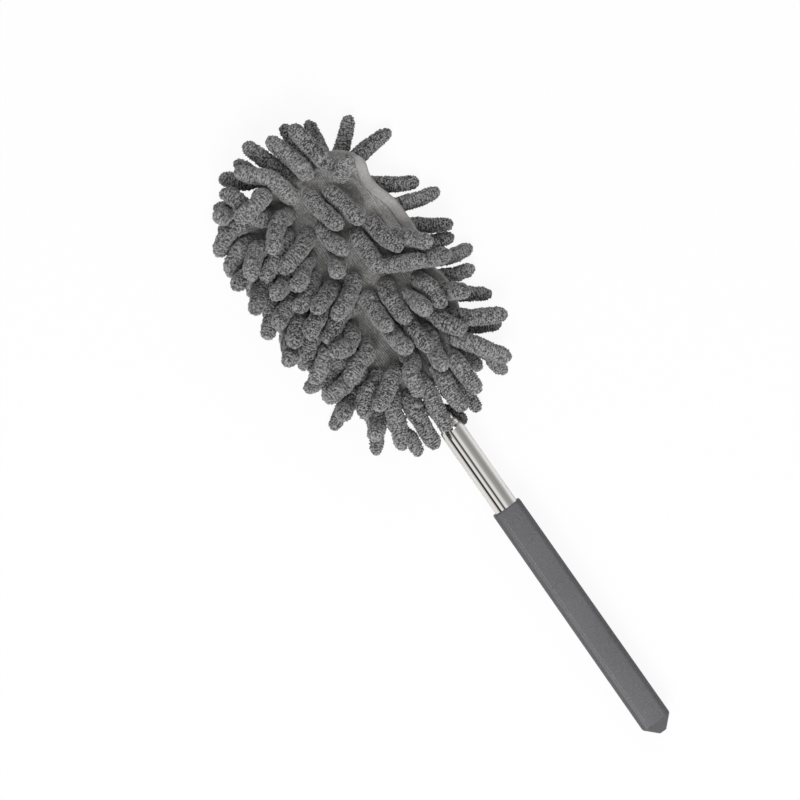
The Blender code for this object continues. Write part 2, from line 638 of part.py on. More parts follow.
def keep_outside(lines, side):
    """Keeps centre lines off the cloth, the pole and the floor."""
    height = lines[:, 1:, 2] * side[:, None]
    cover = cover_height(lines[:, 1:, 0], lines[:, 1:, 1])
    room = np.full(cover.shape[1], FINGER_RADIUS + REST_GAP)
    room[0] = FINGER_BODY_RADIUS
    height = np.where(cover > 0.0, np.maximum(height, cover + room), height)
    lines[:, 1:, 2] = height * side[:, None]
    shell = SECTION_RADII[0] + FINGER_RADIUS + 2.0 * REST_GAP
    y, z = lines[:, 2:, 1], lines[:, 2:, 2]
    off = np.maximum(np.hypot(y, z), FINGER_RADIUS / 10.0)
    close = (lines[:, 2:, 0] < SLEEVE_MOUTH) & (off < shell)
    grow = np.where(close, shell / off, 1.0)
    lines[:, 2:, 1] = y * grow
    lines[:, 2:, 2] = z * grow
    ground = floor_height(lines[:, 1:, 0]) + FINGER_RADIUS - FLOOR_CUT
    lines[:, 1:, 2] = np.maximum(lines[:, 1:, 2], ground)


def settle(fingers):
    """Bends the centre lines until the fingers lie beside and on each other, each at its length."""
    lines = first_guess(fingers)
    wanted = lines[:, :, :2].copy()
    side = np.array([finger[2] for finger in fingers])
    plan = np.linalg.norm(wanted[:, -1] - wanted[:, 0], axis=1)
    length = np.maximum(plan, FINGER_LENGTH - FINGER_TIP_REACH)
    step = length / (FINGER_JOINTS - 1)
    movable = np.ones((1, FINGER_JOINTS, 1))
    movable[0, 0] = 0.0
    movable[0, 1] = ROOT_YIELD_SHARE
    droop = FINGER_RADIUS / 60.0
    for _ in range(SETTLE_STEPS):
        lines[:, 2:, 2] -= droop
        push_apart(lines, movable, LEVEL_SHARE)
        lines[:, 1:, :2] += HOLD_SHARE * (wanted[:, 1:] - lines[:, 1:, :2])
        middle = (lines[:, :-2] + lines[:, 2:]) / 2.0
        lines[:, 1:-1] += SMOOTH_SHARE * (middle - lines[:, 1:-1])
        for joint in range(1, FINGER_JOINTS):
            link = lines[:, joint] - lines[:, joint - 1]
            size = np.maximum(np.linalg.norm(link, axis=1), FINGER_RADIUS / 50.0)
            lines[:, joint] -= link * (STRETCH_SHARE * (size - step) / size)[:, None]
        keep_outside(lines, side)
    for _ in range(EASE_STEPS):
        push_apart(lines, movable, 1.0)
        keep_outside(lines, side)
    return lines


# Where a finger's rings stand along its centre line, and their radii
FINGER_RINGS = (
    (0.0, FINGER_ROOT_RADIUS), (0.22, FINGER_BODY_RADIUS * ROOT_FULLNESS_SHARE),
    (0.58, FINGER_BODY_RADIUS), (0.93, FINGER_BODY_RADIUS),
)


def along_line(line, share):
    """Point and direction at a share of a centre line."""
    place = share * (len(line) - 1)
    joint = min(int(place), len(line) - 2)
    part = place - joint
    before = line[max(joint - 1, 0)]
    after = line[min(joint + 2, len(line) - 1)]
    start, end = line[joint], line[joint + 1]
    direction = (end - start) + (1.0 - part) * (start - before) * 0.5 + part * (after - end) * 0.5
    return start + (end - start) * part, direction / np.linalg.norm(direction)


def finger_mesh(shell, line, side):
    """Adds one blunt finger to a mesh: a narrow root in the cloth, a full body and a blunt tip."""
    stations = [(*along_line(line, share), radius) for share, radius in FINGER_RINGS]
    end, direction = along_line(line, 1.0)
    stations.append((end + direction * FINGER_TIP_REACH, direction, FINGER_TIP_RADIUS))
    rows = []
    for centre, direction, radius in stations:
        sideways = np.cross(direction, (0.0, 0.0, 1.0))
        if np.linalg.norm(sideways) < 0.2:
            sideways = np.cross(direction, (0.0, 1.0, 0.0))
        sideways /= np.linalg.norm(sideways)
        upward = np.cross(sideways, direction)
        row = []
        for i in range(FINGER_SIDES):
            turn = 2.0 * math.pi * (i + 0.5) / FINGER_SIDES
            point = centre + radius * (math.cos(turn) * sideways + math.sin(turn) * upward)
            point[2] = max(point[2], float(floor_height(point[0])))
            if float(cover_height(point[0], point[1])) > 0.0:
                sunk = float(channel_height(point[0], point[1])) + CLOTH_THICKNESS / 2.0
                point[2] = side * max(side * point[2], sunk)
            row.append(shell.verts.new(point))
        rows.append(row)
    for lower, upper in zip(rows[:-1], rows[1:]):
        for i in range(FINGER_SIDES):
            j = (i + 1) % FINGER_SIDES
            shell.faces.new((lower[i], lower[j], upper[j], upper[i]))
    shell.faces.new(reversed(rows[0]))
    shell.faces.new(rows[-1])


def clear_of_each_other(first, second):
    """Whether two fingers keep so far apart that their solids can't cross."""
    shares = [i / 10.0 for i in range(11)]
    one = np.array([along_line(first, share)[0] for share in shares])
    two = np.array([along_line(second, share)[0] for share in shares])
    gaps = np.linalg.norm(one[:, None] - two[None, :], axis=2)
    return gaps.min() > 2.0 * FINGER_RADIUS + FINGER_TIP_REACH


def sort_into_groups(lines):
    """Groups of fingers that are clear of each other, so that each group is a clean solid to join."""
    groups = []
    for line in lines:
        for group in groups:
            if all(clear_of_each_other(line, other) for other in group):
                group.append(line)
                break
        else:
            groups.append([line])
    return groups


def make_finger_guide(name, lines, side, root):
    """A group of fingers as a hidden solid, for joining to their cloth."""
    shell = bmesh.new()
    for line in lines:
        finger_mesh(shell, line, side)
    bmesh.ops.recalc_face_normals(shell, faces=shell.faces)
    data = bpy.data.meshes.new(name)
    shell.to_mesh(data)
    shell.free()
    return add_guide(name, data, root)


def panel_columns(x, grow):
    """Places across the cloth at which its surface bends, crowded in where the cloth is narrow."""
    edge = float(sleeve_half_width(x))
    bends = (
        THROAT_HALF_WIDTH, THROAT_HALF_WIDTH + THROAT_RAMP,
        CHANNEL_HALF_WIDTH, CHANNEL_HALF_WIDTH + CHANNEL_RAMP,
    )
    places = [0.0]
    for order, place in enumerate(bends):
        room = edge - CLOTH_THICKNESS * 0.5 * (len(bends) - order)
        places.append(min(place, room))
    places.append(edge + grow)
    return [-place for place in reversed(places[1:])] + places


def panel_rows():
    """Places along the cloth at which its surface or outline bends."""
    widening = [SLEEVE_MOUTH + SLEEVE_WIDENING * share for share in (0.0, 0.33, 0.66, 1.0)]
    neck_end = NECK_START + NECK_LENGTH
    throat = [neck_end, neck_end + SHOULDER_LENGTH * SHOULDER_FLAT_SHARE]
    corner_start = SLEEVE_TOP - SLEEVE_CORNER
    corner = [corner_start + SLEEVE_CORNER * math.sin(turn * math.pi / 12.0) for turn in range(7)]
    middle = [(SLEEVE_MOUTH + SLEEVE_WIDENING + corner_start) / 2.0]
    ends = [CHANNEL_END, CHANNEL_END + CHANNEL_RAMP]
    return sorted(widening + throat + middle + corner + ends)


def cloth_solid(lower, upper, grow):
    """Mesh data over the sleeve's outline, between two heights above or below the blade's channel.

    Each height is a side (1 or -1) and an offset from the channel's surface on that side.
    """
    shell = bmesh.new()
    rows = panel_rows()
    columns = [panel_columns(x, grow) for x in rows]
    places = list(rows)
    places[0] -= grow
    places[-1] += grow
    layers = []
    for side, offset in (lower, upper):
        grid = []
        for x, place, across in zip(rows, places, columns):
            heights = [side * (float(channel_height(x, y)) + offset) for y in across]
            grid.append([shell.verts.new((place, y, z)) for y, z in zip(across, heights)])
        layers.append(grid)
    inner, outer = layers
    last_row = len(rows) - 1
    last_column = len(columns[0]) - 1
    for grid in layers:
        for i in range(last_row):
            for j in range(last_column):
                shell.faces.new((grid[i][j], grid[i][j + 1], grid[i + 1][j + 1], grid[i + 1][j]))
    rim = [(0, j) for j in range(last_column + 1)]
    rim += [(i, last_column) for i in range(1, last_row + 1)]
    rim += [(last_row, j) for j in range(last_column - 1, -1, -1)]
    rim += [(i, 0) for i in range(last_row - 1, 0, -1)]
    for (a, b), (c, d) in zip(rim, rim[1:] + rim[:1]):
        shell.faces.new((inner[a][b], inner[c][d], outer[c][d], outer[a][b]))
    bmesh.ops.recalc_face_normals(shell, faces=shell.faces)
    data = bpy.data.meshes.new("cloth")
    shell.to_mesh(data)
    shell.free()
    return data


def combine(piece, guide, operation):
    """Joins a guide to a piece or cuts it out. The exact solver leaves open edges on these soft forms."""
    step = piece.modifiers.new(guide.name, "BOOLEAN")
    step.operation = operation
    step.solver = "MANIFOLD"
    step.object = guide


def island_of(face, seen):
    """Every face that hangs together with one face."""
    island = [face]
    seen.add(face)
    for member in island:
        for edge in member.edges:
            for neighbour in edge.link_faces:
                if neighbour not in seen:
                    seen.add(neighbour)
                    island.append(neighbour)
    return island


def apply_steps(piece):
    """Turns a piece's modifiers into its own shape, without the flat splinters that joining leaves."""
    graph = bpy.context.evaluated_depsgraph_get()
    data = bpy.data.meshes.new_from_object(piece.evaluated_get(graph))
    shell = bmesh.new()
    shell.from_mesh(data)
    seen = set()
    splinters = []
    for face in shell.faces:
        if face in seen:
            continue
        island = island_of(face, seen)
        corners = np.array([corner.co for member in island for corner in member.verts])
        if (corners.max(axis=0) - corners.min(axis=0)).min() < SPLINTER_THICKNESS:
            splinters += island
    bmesh.ops.delete(shell, geom=splinters, context="FACES")
    shell.to_mesh(data)
    shell.free()
    for step in list(piece.modifiers):
        bpy.data.objects.remove(step.object, do_unlink=True)
    piece.modifiers.clear()
    piece.data = data


def make_panel(name, side, lines, material, parent):
    """One cloth of the sleeve with its fingers, kept off the other cloth and off the tapes."""
    inner_face = (side, 0.0)
    outer_face = (side, CLOTH_THICKNESS)
    panel = add_piece(name, cloth_solid(inner_face, outer_face, 0.0), material, parent)
    for order, group in enumerate(sort_into_groups(lines)):
        combine(panel, make_finger_guide(f"{name}_fingers_{order + 1}", group, side, parent), "UNION")
    under = (side, -KEEP_OUT)
    far = (-side, CLOTH_THICKNESS + KEEP_OUT)
    cutters = {
        "other_cloth": cloth_solid(under, far, KEEP_OUT),
        "left_tape": binding_solid(1.0, KEEP_OUT),
        "right_tape": binding_solid(-1.0, KEEP_OUT),
        "mouth_tape": mouth_tape_solid(KEEP_OUT),
    }
    for label, data in cutters.items():
        combine(panel, add_guide(f"{name}_{label}_cutter", data, parent), "DIFFERENCE")
    bpy.context.view_layer.update()
    apply_steps(panel)
    return panel


def binding_solid(side, grow):
    """Mesh data of the folded tape round one long edge of both cloths, or of the room round it."""
    inner_height = WING_GAP + CLOTH_THICKNESS + BINDING_CLEARANCE - grow
    outer_height = WING_GAP + CLOTH_THICKNESS + BINDING_CLEARANCE + BINDING_THICKNESS + grow
    start = BINDING_START - grow
    end = SLEEVE_TOP - SLEEVE_CORNER + grow
    steps = 12
    rings = []
    for i in range(steps + 1):
        x = start + (end - start) * i / steps
        edge = float(sleeve_half_width(x))
        inboard = edge - BINDING_WIDTH - grow
        inside = edge + BINDING_CLEARANCE - grow
        outside = edge + BINDING_CLEARANCE + BINDING_THICKNESS + grow
        section = (
            (inboard, outer_height), (outside, outer_height), (outside, -outer_height),
            (inboard, -outer_height), (inboard, -inner_height), (inside, -inner_height),
            (inside, inner_height), (inboard, inner_height),
        )
        rings.append([(x, side * y, z) for y, z in section])
    return lofted(rings)


def mouth_outline(grow):
    """Half-lens points of the mouth tape about the throat and the blade, from edge to edge."""
    clear = MOUTH_TAPE_CLEARANCE + FERRULE_WALL + grow
    neck = NECK_RADIUS + FIT_GAP + clear
    blade = BLADE_THICKNESS / 2.0 + clear
    ferrule_side = THROAT_HALF_WIDTH + clear
    ramp_end = ferrule_side + THROAT_RAMP
    side = CHANNEL_HALF_WIDTH + grow
    upper = [(side + MOUTH_TAPE_CLEARANCE, 0.0), (side, blade), (ramp_end, blade), (ferrule_side, neck)]
    upper += [(-y, z) for y, z in reversed(upper)]
    lower = [(y, -z) for y, z in reversed(upper[1:-1])]
    return upper + lower


def mouth_tape_solid(grow):
    """Mesh data of the taped hem at the sleeve's mouth, open for blade and neck, or of its room."""
    end = SLEEVE_MOUTH - REST_GAP + grow
    start = SLEEVE_MOUTH - REST_GAP - MOUTH_TAPE_LENGTH - grow
    opening = mouth_outline(-grow)
    outside = mouth_outline(MOUTH_TAPE_THICKNESS + grow)
    rings = [
        [(start, y, z) for y, z in opening],
        [(start, y, z) for y, z in outside],
        [(end, y, z) for y, z in outside],
        [(end, y, z) for y, z in opening],
    ]
    return lofted(rings, closed=True)


def lay_on_floor(root, pieces):
    """Turns the duster onto the floor and centres its footprint on the origin."""
    rise = float(floor_height(GRIP_POINT_LENGTH) - floor_height(HEAD_MIDDLE))
    tilt = math.atan2(rise, HEAD_MIDDLE - GRIP_POINT_LENGTH)
    root.rotation_euler = (0.0, -tilt, 0.0)
    bpy.context.view_layer.update()
    graph = bpy.context.evaluated_depsgraph_get()
    corners = []
    for piece in pieces:
        shown = piece.evaluated_get(graph)
        data = shown.to_mesh()
        places = np.zeros(len(data.vertices) * 3)
        data.vertices.foreach_get("co", places)
        turn = np.array(shown.matrix_world)
        corners.append(places.reshape(-1, 3) @ turn[:3, :3].T + turn[:3, 3])
        shown.to_mesh_clear()
    cloud = np.concatenate(corners)
    low, high = cloud.min(axis=0), cloud.max(axis=0)
    middle = (low + high) / 2.0
    root.location = (-middle[0], -middle[1], -low[2])
    bpy.context.view_layer.update()


def main():
    clear_scene()
    finish = make_materials()
    root = bpy.data.objects.new("duster", None)
    bpy.context.collection.objects.link(root)
    pin_cutter = make_pin_cutter(root)
    pieces = [make_grip(finish["grip_plastic"], root), make_plug(finish["plug_plastic"], root)]
    for index in range(len(SECTION_RADII)):
        pieces.append(make_section(index, finish["stainless_steel"], root))
    cut(pieces[-1], pin_cutter)
    for index in range(1, len(SECTION_RADII)):
        pieces.append(make_collar(index, finish["spring_brass"], root))
    paddle = make_paddle(finish["paddle_plastic"], root)
    cut(paddle, pin_cutter)
    ferrule = make_ferrule(finish["stainless_steel"], root)
    pieces += [paddle, ferrule, make_pin(finish["stainless_steel"], root)]
    fingers = list_fingers()
    lines = settle(fingers)
    sides = np.array([finger[2] for finger in fingers])
    pieces.append(make_panel("front_panel", 1.0, lines[sides > 0.0], finish["chenille"], root))
    pieces.append(make_panel("back_panel", -1.0, lines[sides < 0.0], finish["chenille"], root))
    pieces.append(add_piece("side_binding_left", binding_solid(1.0, 0.0), finish["sleeve_cloth"], root))
    pieces.append(add_piece("side_binding_right", binding_solid(-1.0, 0.0), finish["sleeve_cloth"], root))
    pieces.append(add_piece("mouth_binding", mouth_tape_solid(0.0), finish["sleeve_cloth"], root))
    lay_on_floor(root, pieces)


if __name__ == "__main__":
    main()
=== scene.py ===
"""Telescopic car duster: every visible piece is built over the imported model.

The script is laid out as an add-on, so that its sizes and colours can be changed in the sidebar,
and it is run as a script. Lengths are in metres.
"""

import json
import math

import bmesh
import bpy
import numpy as np
from bpy.props import FloatProperty, FloatVectorProperty, IntProperty, PointerProperty
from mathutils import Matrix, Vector


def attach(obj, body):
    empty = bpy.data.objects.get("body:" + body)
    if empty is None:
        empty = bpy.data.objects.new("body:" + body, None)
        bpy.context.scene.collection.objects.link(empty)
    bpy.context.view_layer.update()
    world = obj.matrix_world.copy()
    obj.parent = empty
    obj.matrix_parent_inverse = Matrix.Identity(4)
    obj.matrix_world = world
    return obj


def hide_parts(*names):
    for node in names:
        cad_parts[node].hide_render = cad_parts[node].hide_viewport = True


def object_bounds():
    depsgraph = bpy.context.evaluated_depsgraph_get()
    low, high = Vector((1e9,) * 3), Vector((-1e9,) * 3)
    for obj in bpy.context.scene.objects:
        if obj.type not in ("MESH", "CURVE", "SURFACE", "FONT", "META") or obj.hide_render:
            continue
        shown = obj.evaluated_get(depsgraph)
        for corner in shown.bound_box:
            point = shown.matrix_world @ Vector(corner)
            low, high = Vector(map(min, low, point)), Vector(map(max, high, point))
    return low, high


bl_info = {
    "name": "Car duster",
    "version": (1, 0, 0),
    "blender": (4, 5, 0),
    "location": "View3D > Sidebar > Duster",
    "description": "Builds a telescopic duster with a sleeve of chenille fingers over its packed model",
    "category": "Object",
}

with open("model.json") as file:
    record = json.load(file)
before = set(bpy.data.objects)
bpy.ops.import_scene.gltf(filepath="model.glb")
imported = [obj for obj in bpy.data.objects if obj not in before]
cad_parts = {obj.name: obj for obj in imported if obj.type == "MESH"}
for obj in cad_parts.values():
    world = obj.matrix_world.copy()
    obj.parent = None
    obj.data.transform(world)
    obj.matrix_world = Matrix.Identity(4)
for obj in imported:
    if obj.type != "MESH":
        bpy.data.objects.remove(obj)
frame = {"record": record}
CAD_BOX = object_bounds()
JOINTS = {joint["name"]: joint for joint in frame["record"]["behaviour"]["joints"]}

MM = 0.001
REST_GAP = 0.3 * MM             # between pieces that lie against each other
FIT_GAP = 0.15 * MM             # round a piece that fits into another
WELD_REACH = 0.001 * MM         # within which points count as one

# Where the pole lies: its axis, and the point of the grip on it
SPIN_PLACE = 40.5 * MM          # of the head's turning point along the pole, from the grip's point
AXIS = Vector(JOINTS["head_spin"]["axis"]).normalized()
UPRIGHT = Vector((-AXIS.z, 0.0, AXIS.x))
ACROSS = Vector((0.0, 1.0, 0.0))
START = Vector(JOINTS["head_spin"]["pos_m"]) - AXIS * SPIN_PLACE

# Pole and paddle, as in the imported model
GRIP_LENGTH = 123.8 * MM
GRIP_POINT_LENGTH = 6.0 * MM
GRIP_POINT_WIDTH = 3.6 * MM
GRIP_POINT_DEPTH = 4.4 * MM
GRIP_END_WIDTH = 14.8 * MM
GRIP_POLE_WIDTH = 14.3 * MM
GRIP_DEPTH = 13.6 * MM
GRIP_CHAMFER = 1.7 * MM
SECTION_RADII = (5.7 * MM, 4.85 * MM, 4.0 * MM, 3.15 * MM, 2.3 * MM)
TUBE_WALL = 0.4 * MM
TUBE_START = 26.0 * MM
SECTION_1_TOP = 167.8 * MM
SECTION_STEPS = (3.0 * MM, 2.6 * MM, 2.8 * MM)
PLUG_LENGTH = 9.4 * MM
LIP_LENGTH = 1.5 * MM
FLARE_LENGTH = 0.8 * MM
COLLAR_LENGTH = 7.0 * MM
BEAD_LENGTH = 0.8 * MM
BEAD_HEIGHT = 0.2 * MM
NECK_START = 184.0 * MM
NECK_LENGTH = 14.0 * MM
NECK_RADIUS = 3.5 * MM
NECK_BORE_DEPTH = 13.0 * MM
SHOULDER_LENGTH = 24.0 * MM
SHOULDER_FLAT_SHARE = 0.75
BLADE_TOP = 292.0 * MM
BLADE_HALF_WIDTH = 19.0 * MM
BLADE_THICKNESS = 2.6 * MM
FERRULE_SETBACK = 0.6 * MM
FERRULE_LENGTH = 4.2 * MM
FERRULE_WALL = 0.65 * MM

# Sleeve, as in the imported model
SLEEVE_MOUTH = 190.0 * MM
SLEEVE_TOP = 302.0 * MM
SLEEVE_HALF_WIDTH = 38.0 * MM
MOUTH_HALF_WIDTH = 25.0 * MM
SLEEVE_WIDENING = 44.0 * MM
SLEEVE_CORNER = 18.0 * MM
CLOTH_THICKNESS = 1.5 * MM
CHANNEL_CLEARANCE = 0.5 * MM
CHANNEL_SIDE_CLEARANCE = 1.8 * MM
CHANNEL_RAMP = 2.2 * MM
THROAT_CLEARANCE = 0.4 * MM
THROAT_RAMP = 3.4 * MM
BINDING_WIDTH = 4.2 * MM
BINDING_THICKNESS = 0.8 * MM
BINDING_CLEARANCE = 0.25 * MM
BINDING_START = 198.0 * MM
MOUTH_TAPE_LENGTH = 2.5 * MM
MOUTH_TAPE_THICKNESS = 1.5 * MM
MOUTH_TAPE_CLEARANCE = 0.5 * MM

# Chenille fingers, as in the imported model
FINGER_RADIUS = 4.2 * MM
FINGER_BODY_RADIUS = 3.9 * MM
FINGER_LENGTH = 25.0 * MM
FINGER_ROOT_RADIUS = 2.2 * MM
FINGER_ROOT_SPACING = 7.0 * MM
FINGER_TIP_REACH = 1.0 * MM
FINGER_SINK = 0.8 * MM
FINGER_JOINTS = 6
FINGER_LIFT = 5.0 * MM
FIELD_MARGINS = (6.0 * MM, 4.0 * MM)    # of the field of fingers from the sleeve's mouth and top
FIELD_START = SLEEVE_MOUTH + FIELD_MARGINS[0]
FIELD_LENGTH = SLEEVE_TOP - FIELD_START - FIELD_MARGINS[1]

# How the fingers settle
SPREAD_STEPS = 40               # that part the roots which stand too close
SETTLE_STEPS = 120              # that bend the fingers until they lie
EASE_STEPS = 60                 # that only clear the last touches
LEVEL_SHARE = 0.7               # of a push sideways that counts while they bend
HOLD_SHARE = 0.12               # of the way back to a joint's place in plan
SMOOTH_SHARE = 0.3              # of the way to the middle of its neighbours
STRETCH_SHARE = 0.5             # of a link's wrong length that is taken back
ROOT_YIELD_SHARE = 0.4          # of a push that the joint next to the root takes
FIRST_RISE_SHARE = 1.4          # height of the first guess over the cloth, in finger radii
FIRST_RISE_END = 0.5            # of a finger's length, where it has that height
BACK_RISE_SHARE = 0.75          # of that height on the back
AXIS_TO_FLOOR_AT_HEAD = 15.0 * MM
HEAD_MIDDLE = 245.0 * MM
FLOOR_CUT = 0.5 * MM            # that a finger may press into the floor
CROWD_SHARE = 0.6               # by which the touches on one stretch share out its push
DROOP = FINGER_RADIUS / 60.0    # that a free stretch sinks by in each step
LEAST_LENGTH = FINGER_RADIUS / 50.0     # that a length counts as, where it is divided by
LEAST_OFFSET = FINGER_RADIUS / 10.0     # and a distance from the pole's axis

# Front fingers, read off: where each root and each tip lies, in hundredths of the field of
# fingers along the pole and of the sleeve's half width across it, and the layer that it lies in.
FRONT_FINGER_SHARES = (
    (98, -14, 126, 7, 1), (99, -26, 122, -19, 1), (96, -58, 119, -50, 1), (98, 0, 121, 36, 1),
    (98, 16, 121, 55, 0), (96, 30, 113, 66, 0), (99, 20, 101, 74, 2), (94, 50, 94, 107, 0),
    (91, 56, 83, 103, 0), (87, 60, 77, 106, 1), (84, 52, 75, 97, 2), (94, 18, 76, 60, 3),
    (81, 14, 66, 60, 3), (76, 44, 65, 85, 2), (71, 70, 64, 110, 1), (63, 68, 52, 114, 1),
    (61, 54, 52, 97, 2), (61, 24, 53, 69, 3), (50, 60, 41, 96, 2), (47, 38, 40, 78, 3),
    (53, 2, 41, 47, 3), (54, 20, 47, 56, 1), (43, 72, 38, 110, 1), (36, 26, 31, 66, 3),
    (36, 50, 24, 103, 2), (37, 22, 34, 60, 2), (24, 22, 14, 73, 3), (20, 48, 11, 99, 2),
    (9, 58, 4, 96, 1), (12, 30, -2, 83, 2), (9, 14, -2, 70, 3), (2, 42, -11, 80, 1),
    (0, 28, -24, 62, 2), (-2, 20, -32, 25, 1), (-1, 6, -28, 8, 1), (12, -8, -10, 9, 3),
    (-1, -14, -25, -27, 1), (0, -48, -19, -51, 1), (16, -40, -6, -34, 2), (6, -66, -18, -105, 2),
    (12, -76, -1, -132, 1), (26, -74, 18, -106, 2), (36, -62, 19, -71, 3), (24, -56, 3, -80, 2),
    (26, -28, 5, -32, 2), (28, -8, 10, -18, 1), (42, -2, 23, -12, 3), (42, -36, 20, -38, 1),
    (48, -42, 40, -88, 2), (68, -38, 46, -40, 2), (69, -58, 49, -74, 2), (57, -74, 44, -102, 2),
    (42, -74, 36, -112, 1), (95, -18, 70, -24, 2), (78, -10, 62, -15, 1), (90, -46, 70, -52, 2),
    (92, -54, 94, -82, 1), (64, -8, 56, 6, 2), (34, -48, 20, -56, 1), (84, 34, 70, 82, 1),
    (28, 44, 18, 88, 1), (70, 20, 60, 60, 2), (104, 36, 107, 82, 0), (40, 46, 30, 90, 1),
)

# Back fingers that show past the sleeve's edge from the front, in the same shares.
BACK_SHOWN_SHARES = (
    (98, -40, 124, -43, 0), (97, -60, 116, -68, 0), (94, -68, 111, -115, 0), (94, -80, 95, -132, 0),
    (82, -82, 68, -135, 0), (68, -84, 61, -150, 0), (57, -84, 45, -137, 0), (46, -84, 41, -113, 1),
    (38, -84, 32, -138, 0), (31, -80, 28, -115, 1), (25, -82, 11, -127, 0), (8, -72, -1, -110, 0),
    (-2, -56, -19, -89, 0), (-2, -30, -28, -40, 0), (-3, -16, -30, -17, 0), (-3, 34, -30, 49, 0),
    (0, 50, -17, 87, 0), (12, 66, 5, 97, 0), (24, 74, 21, 106, 0), (35, 76, 31, 99, 0),
    (50, 78, 45, 104, 0), (61, 80, 56, 104, 0), (75, 80, 71, 103, 0), (86, 76, 82, 102, 0),
    (95, 62, 102, 88, 0), (98, 4, 123, 28, 0), (98, 34, 110, 74, 0), (18, 72, 14, 99, 1),
)

# Rows of fingers on the rest of the back: place along the field, and the places across it.
BACK_ROW_SHARES = (
    (84, (-38, -10, 18)), (66, (-50, -24, 2, 28, 52)), (46, (-46, -20, 6, 32)),
    (27, (-50, -24, 2, 28, 52)), (8, (-36, -10, 16)),
)
BACK_ROW_LEAN_SHARE = 22        # how far along the field a back finger trails towards the mouth
BACK_ROW_SPREAD_SHARE = 12      # and how far it leans out from the middle

CHANNEL_HALF_WIDTH = BLADE_HALF_WIDTH + CHANNEL_SIDE_CLEARANCE
CHANNEL_HALF_HEIGHT = BLADE_THICKNESS / 2.0 + CHANNEL_CLEARANCE
THROAT_HALF_WIDTH = NECK_RADIUS + 2.0 * THROAT_CLEARANCE
THROAT_HALF_HEIGHT = NECK_RADIUS + THROAT_CLEARANCE
CHANNEL_END = BLADE_TOP + CHANNEL_SIDE_CLEARANCE
WING_GAP = REST_GAP / 2.0
BINDING_INSIDE = WING_GAP + CLOTH_THICKNESS + BINDING_CLEARANCE
MOUTH_RADIUS = NECK_RADIUS + FIT_GAP + FERRULE_WALL + MOUTH_TAPE_CLEARANCE


# Places

def placed(points):
    """Points given along, across and above the pole's axis, turned to where the duster lies."""
    points = np.asarray(points, dtype=float).reshape(-1, 3)
    turn = np.array((AXIS, ACROSS, UPRIGHT))
    return points @ turn + np.array(START)


def add_object(name, data):
    """A new object in the scene, at the origin."""
    made = bpy.data.objects.new(name, data)
    bpy.context.collection.objects.link(made)
    return made


def line_object(name, lines):
    """Lines of points in the pole's own frame as one mesh of loose edges."""
    points = []
    edges = []
    for line in lines:
        first = len(points)
        points += [tuple(point) for point in placed(line)]
        edges += [(first + i, first + i + 1) for i in range(len(line) - 1)]
    data = bpy.data.meshes.new(name)
    data.from_pydata(points, edges, [])
    return add_object(name, data)


def mesh_object(name, points, faces, material, smooth=True):
    """A closed piece from points in the pole's own frame."""
    data = bpy.data.meshes.new(name)
    data.from_pydata([tuple(point) for point in placed(points)], [], faces)
    data.materials.append(material)
    piece = add_object(name, data)
    shell = bmesh.new()
    shell.from_mesh(data)
    bmesh.ops.remove_doubles(shell, verts=shell.verts, dist=WELD_REACH)
    bmesh.ops.recalc_face_normals(shell, faces=shell.faces)
    shell.to_mesh(data)
    shell.free()
    if smooth:
        data.shade_smooth()
    return piece


def lofted(rings, closed=False):
    """Points and faces through rings of equally many points: capped, or closed on itself."""
    count = len(rings[0])
    points = [point for ring in rings for point in ring]
    faces = []
    last = len(rings) if closed else len(rings) - 1
    for k in range(last):
        low = k * count
        high = ((k + 1) % len(rings)) * count
        for i in range(count):
            j = (i + 1) % count
            faces.append((low + i, low + j, high + j, high + i))
    if not closed:
        faces.append(tuple(reversed(range(count))))
        faces.append(tuple(range((len(rings) - 1) * count, len(rings) * count)))
    return points, faces


def smooth_share(share):
    """A share between 0 and 1, eased at both ends."""
    return share * share * (3.0 - 2.0 * share)


def circle(x, radius, count):
    """Points of a circle about the pole's axis."""
    turns = [2.0 * math.pi * i / count for i in range(count)]
    return [(x, radius * math.cos(turn), radius * math.sin(turn)) for turn in turns]


def finished(piece, body, slot, *nodes):
    """Hangs a piece on its body and hides the imported nodes that it stands for; its finish is not used."""
    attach(piece, body)
    for node in nodes:
        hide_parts(node)


def baked(piece):
    """Turns a piece's modifiers into its own mesh."""
    graph = bpy.context.evaluated_depsgraph_get()
    data = bpy.data.meshes.new_from_object(piece.evaluated_get(graph))
    piece.modifiers.clear()
    piece.data = data
    data.name = piece.name
    return piece


# Sleeve surfaces and the settling of its fingers

def sleeve_half_width(x):
    """The sleeve's outline: it widens from the mouth and ends in a straight top with round corners."""
    x = np.asarray(x, dtype=float)
    share = np.clip((x - SLEEVE_MOUTH) / SLEEVE_WIDENING, 0.0, 1.0)
    width = MOUTH_HALF_WIDTH + (SLEEVE_HALF_WIDTH - MOUTH_HALF_WIDTH) * np.sin(share * math.pi / 2.0)
    past = np.clip((x - (SLEEVE_TOP - SLEEVE_CORNER)) / SLEEVE_CORNER, 0.0, 1.0)
    return width - SLEEVE_CORNER * (1.0 - np.sqrt(1.0 - past * past))


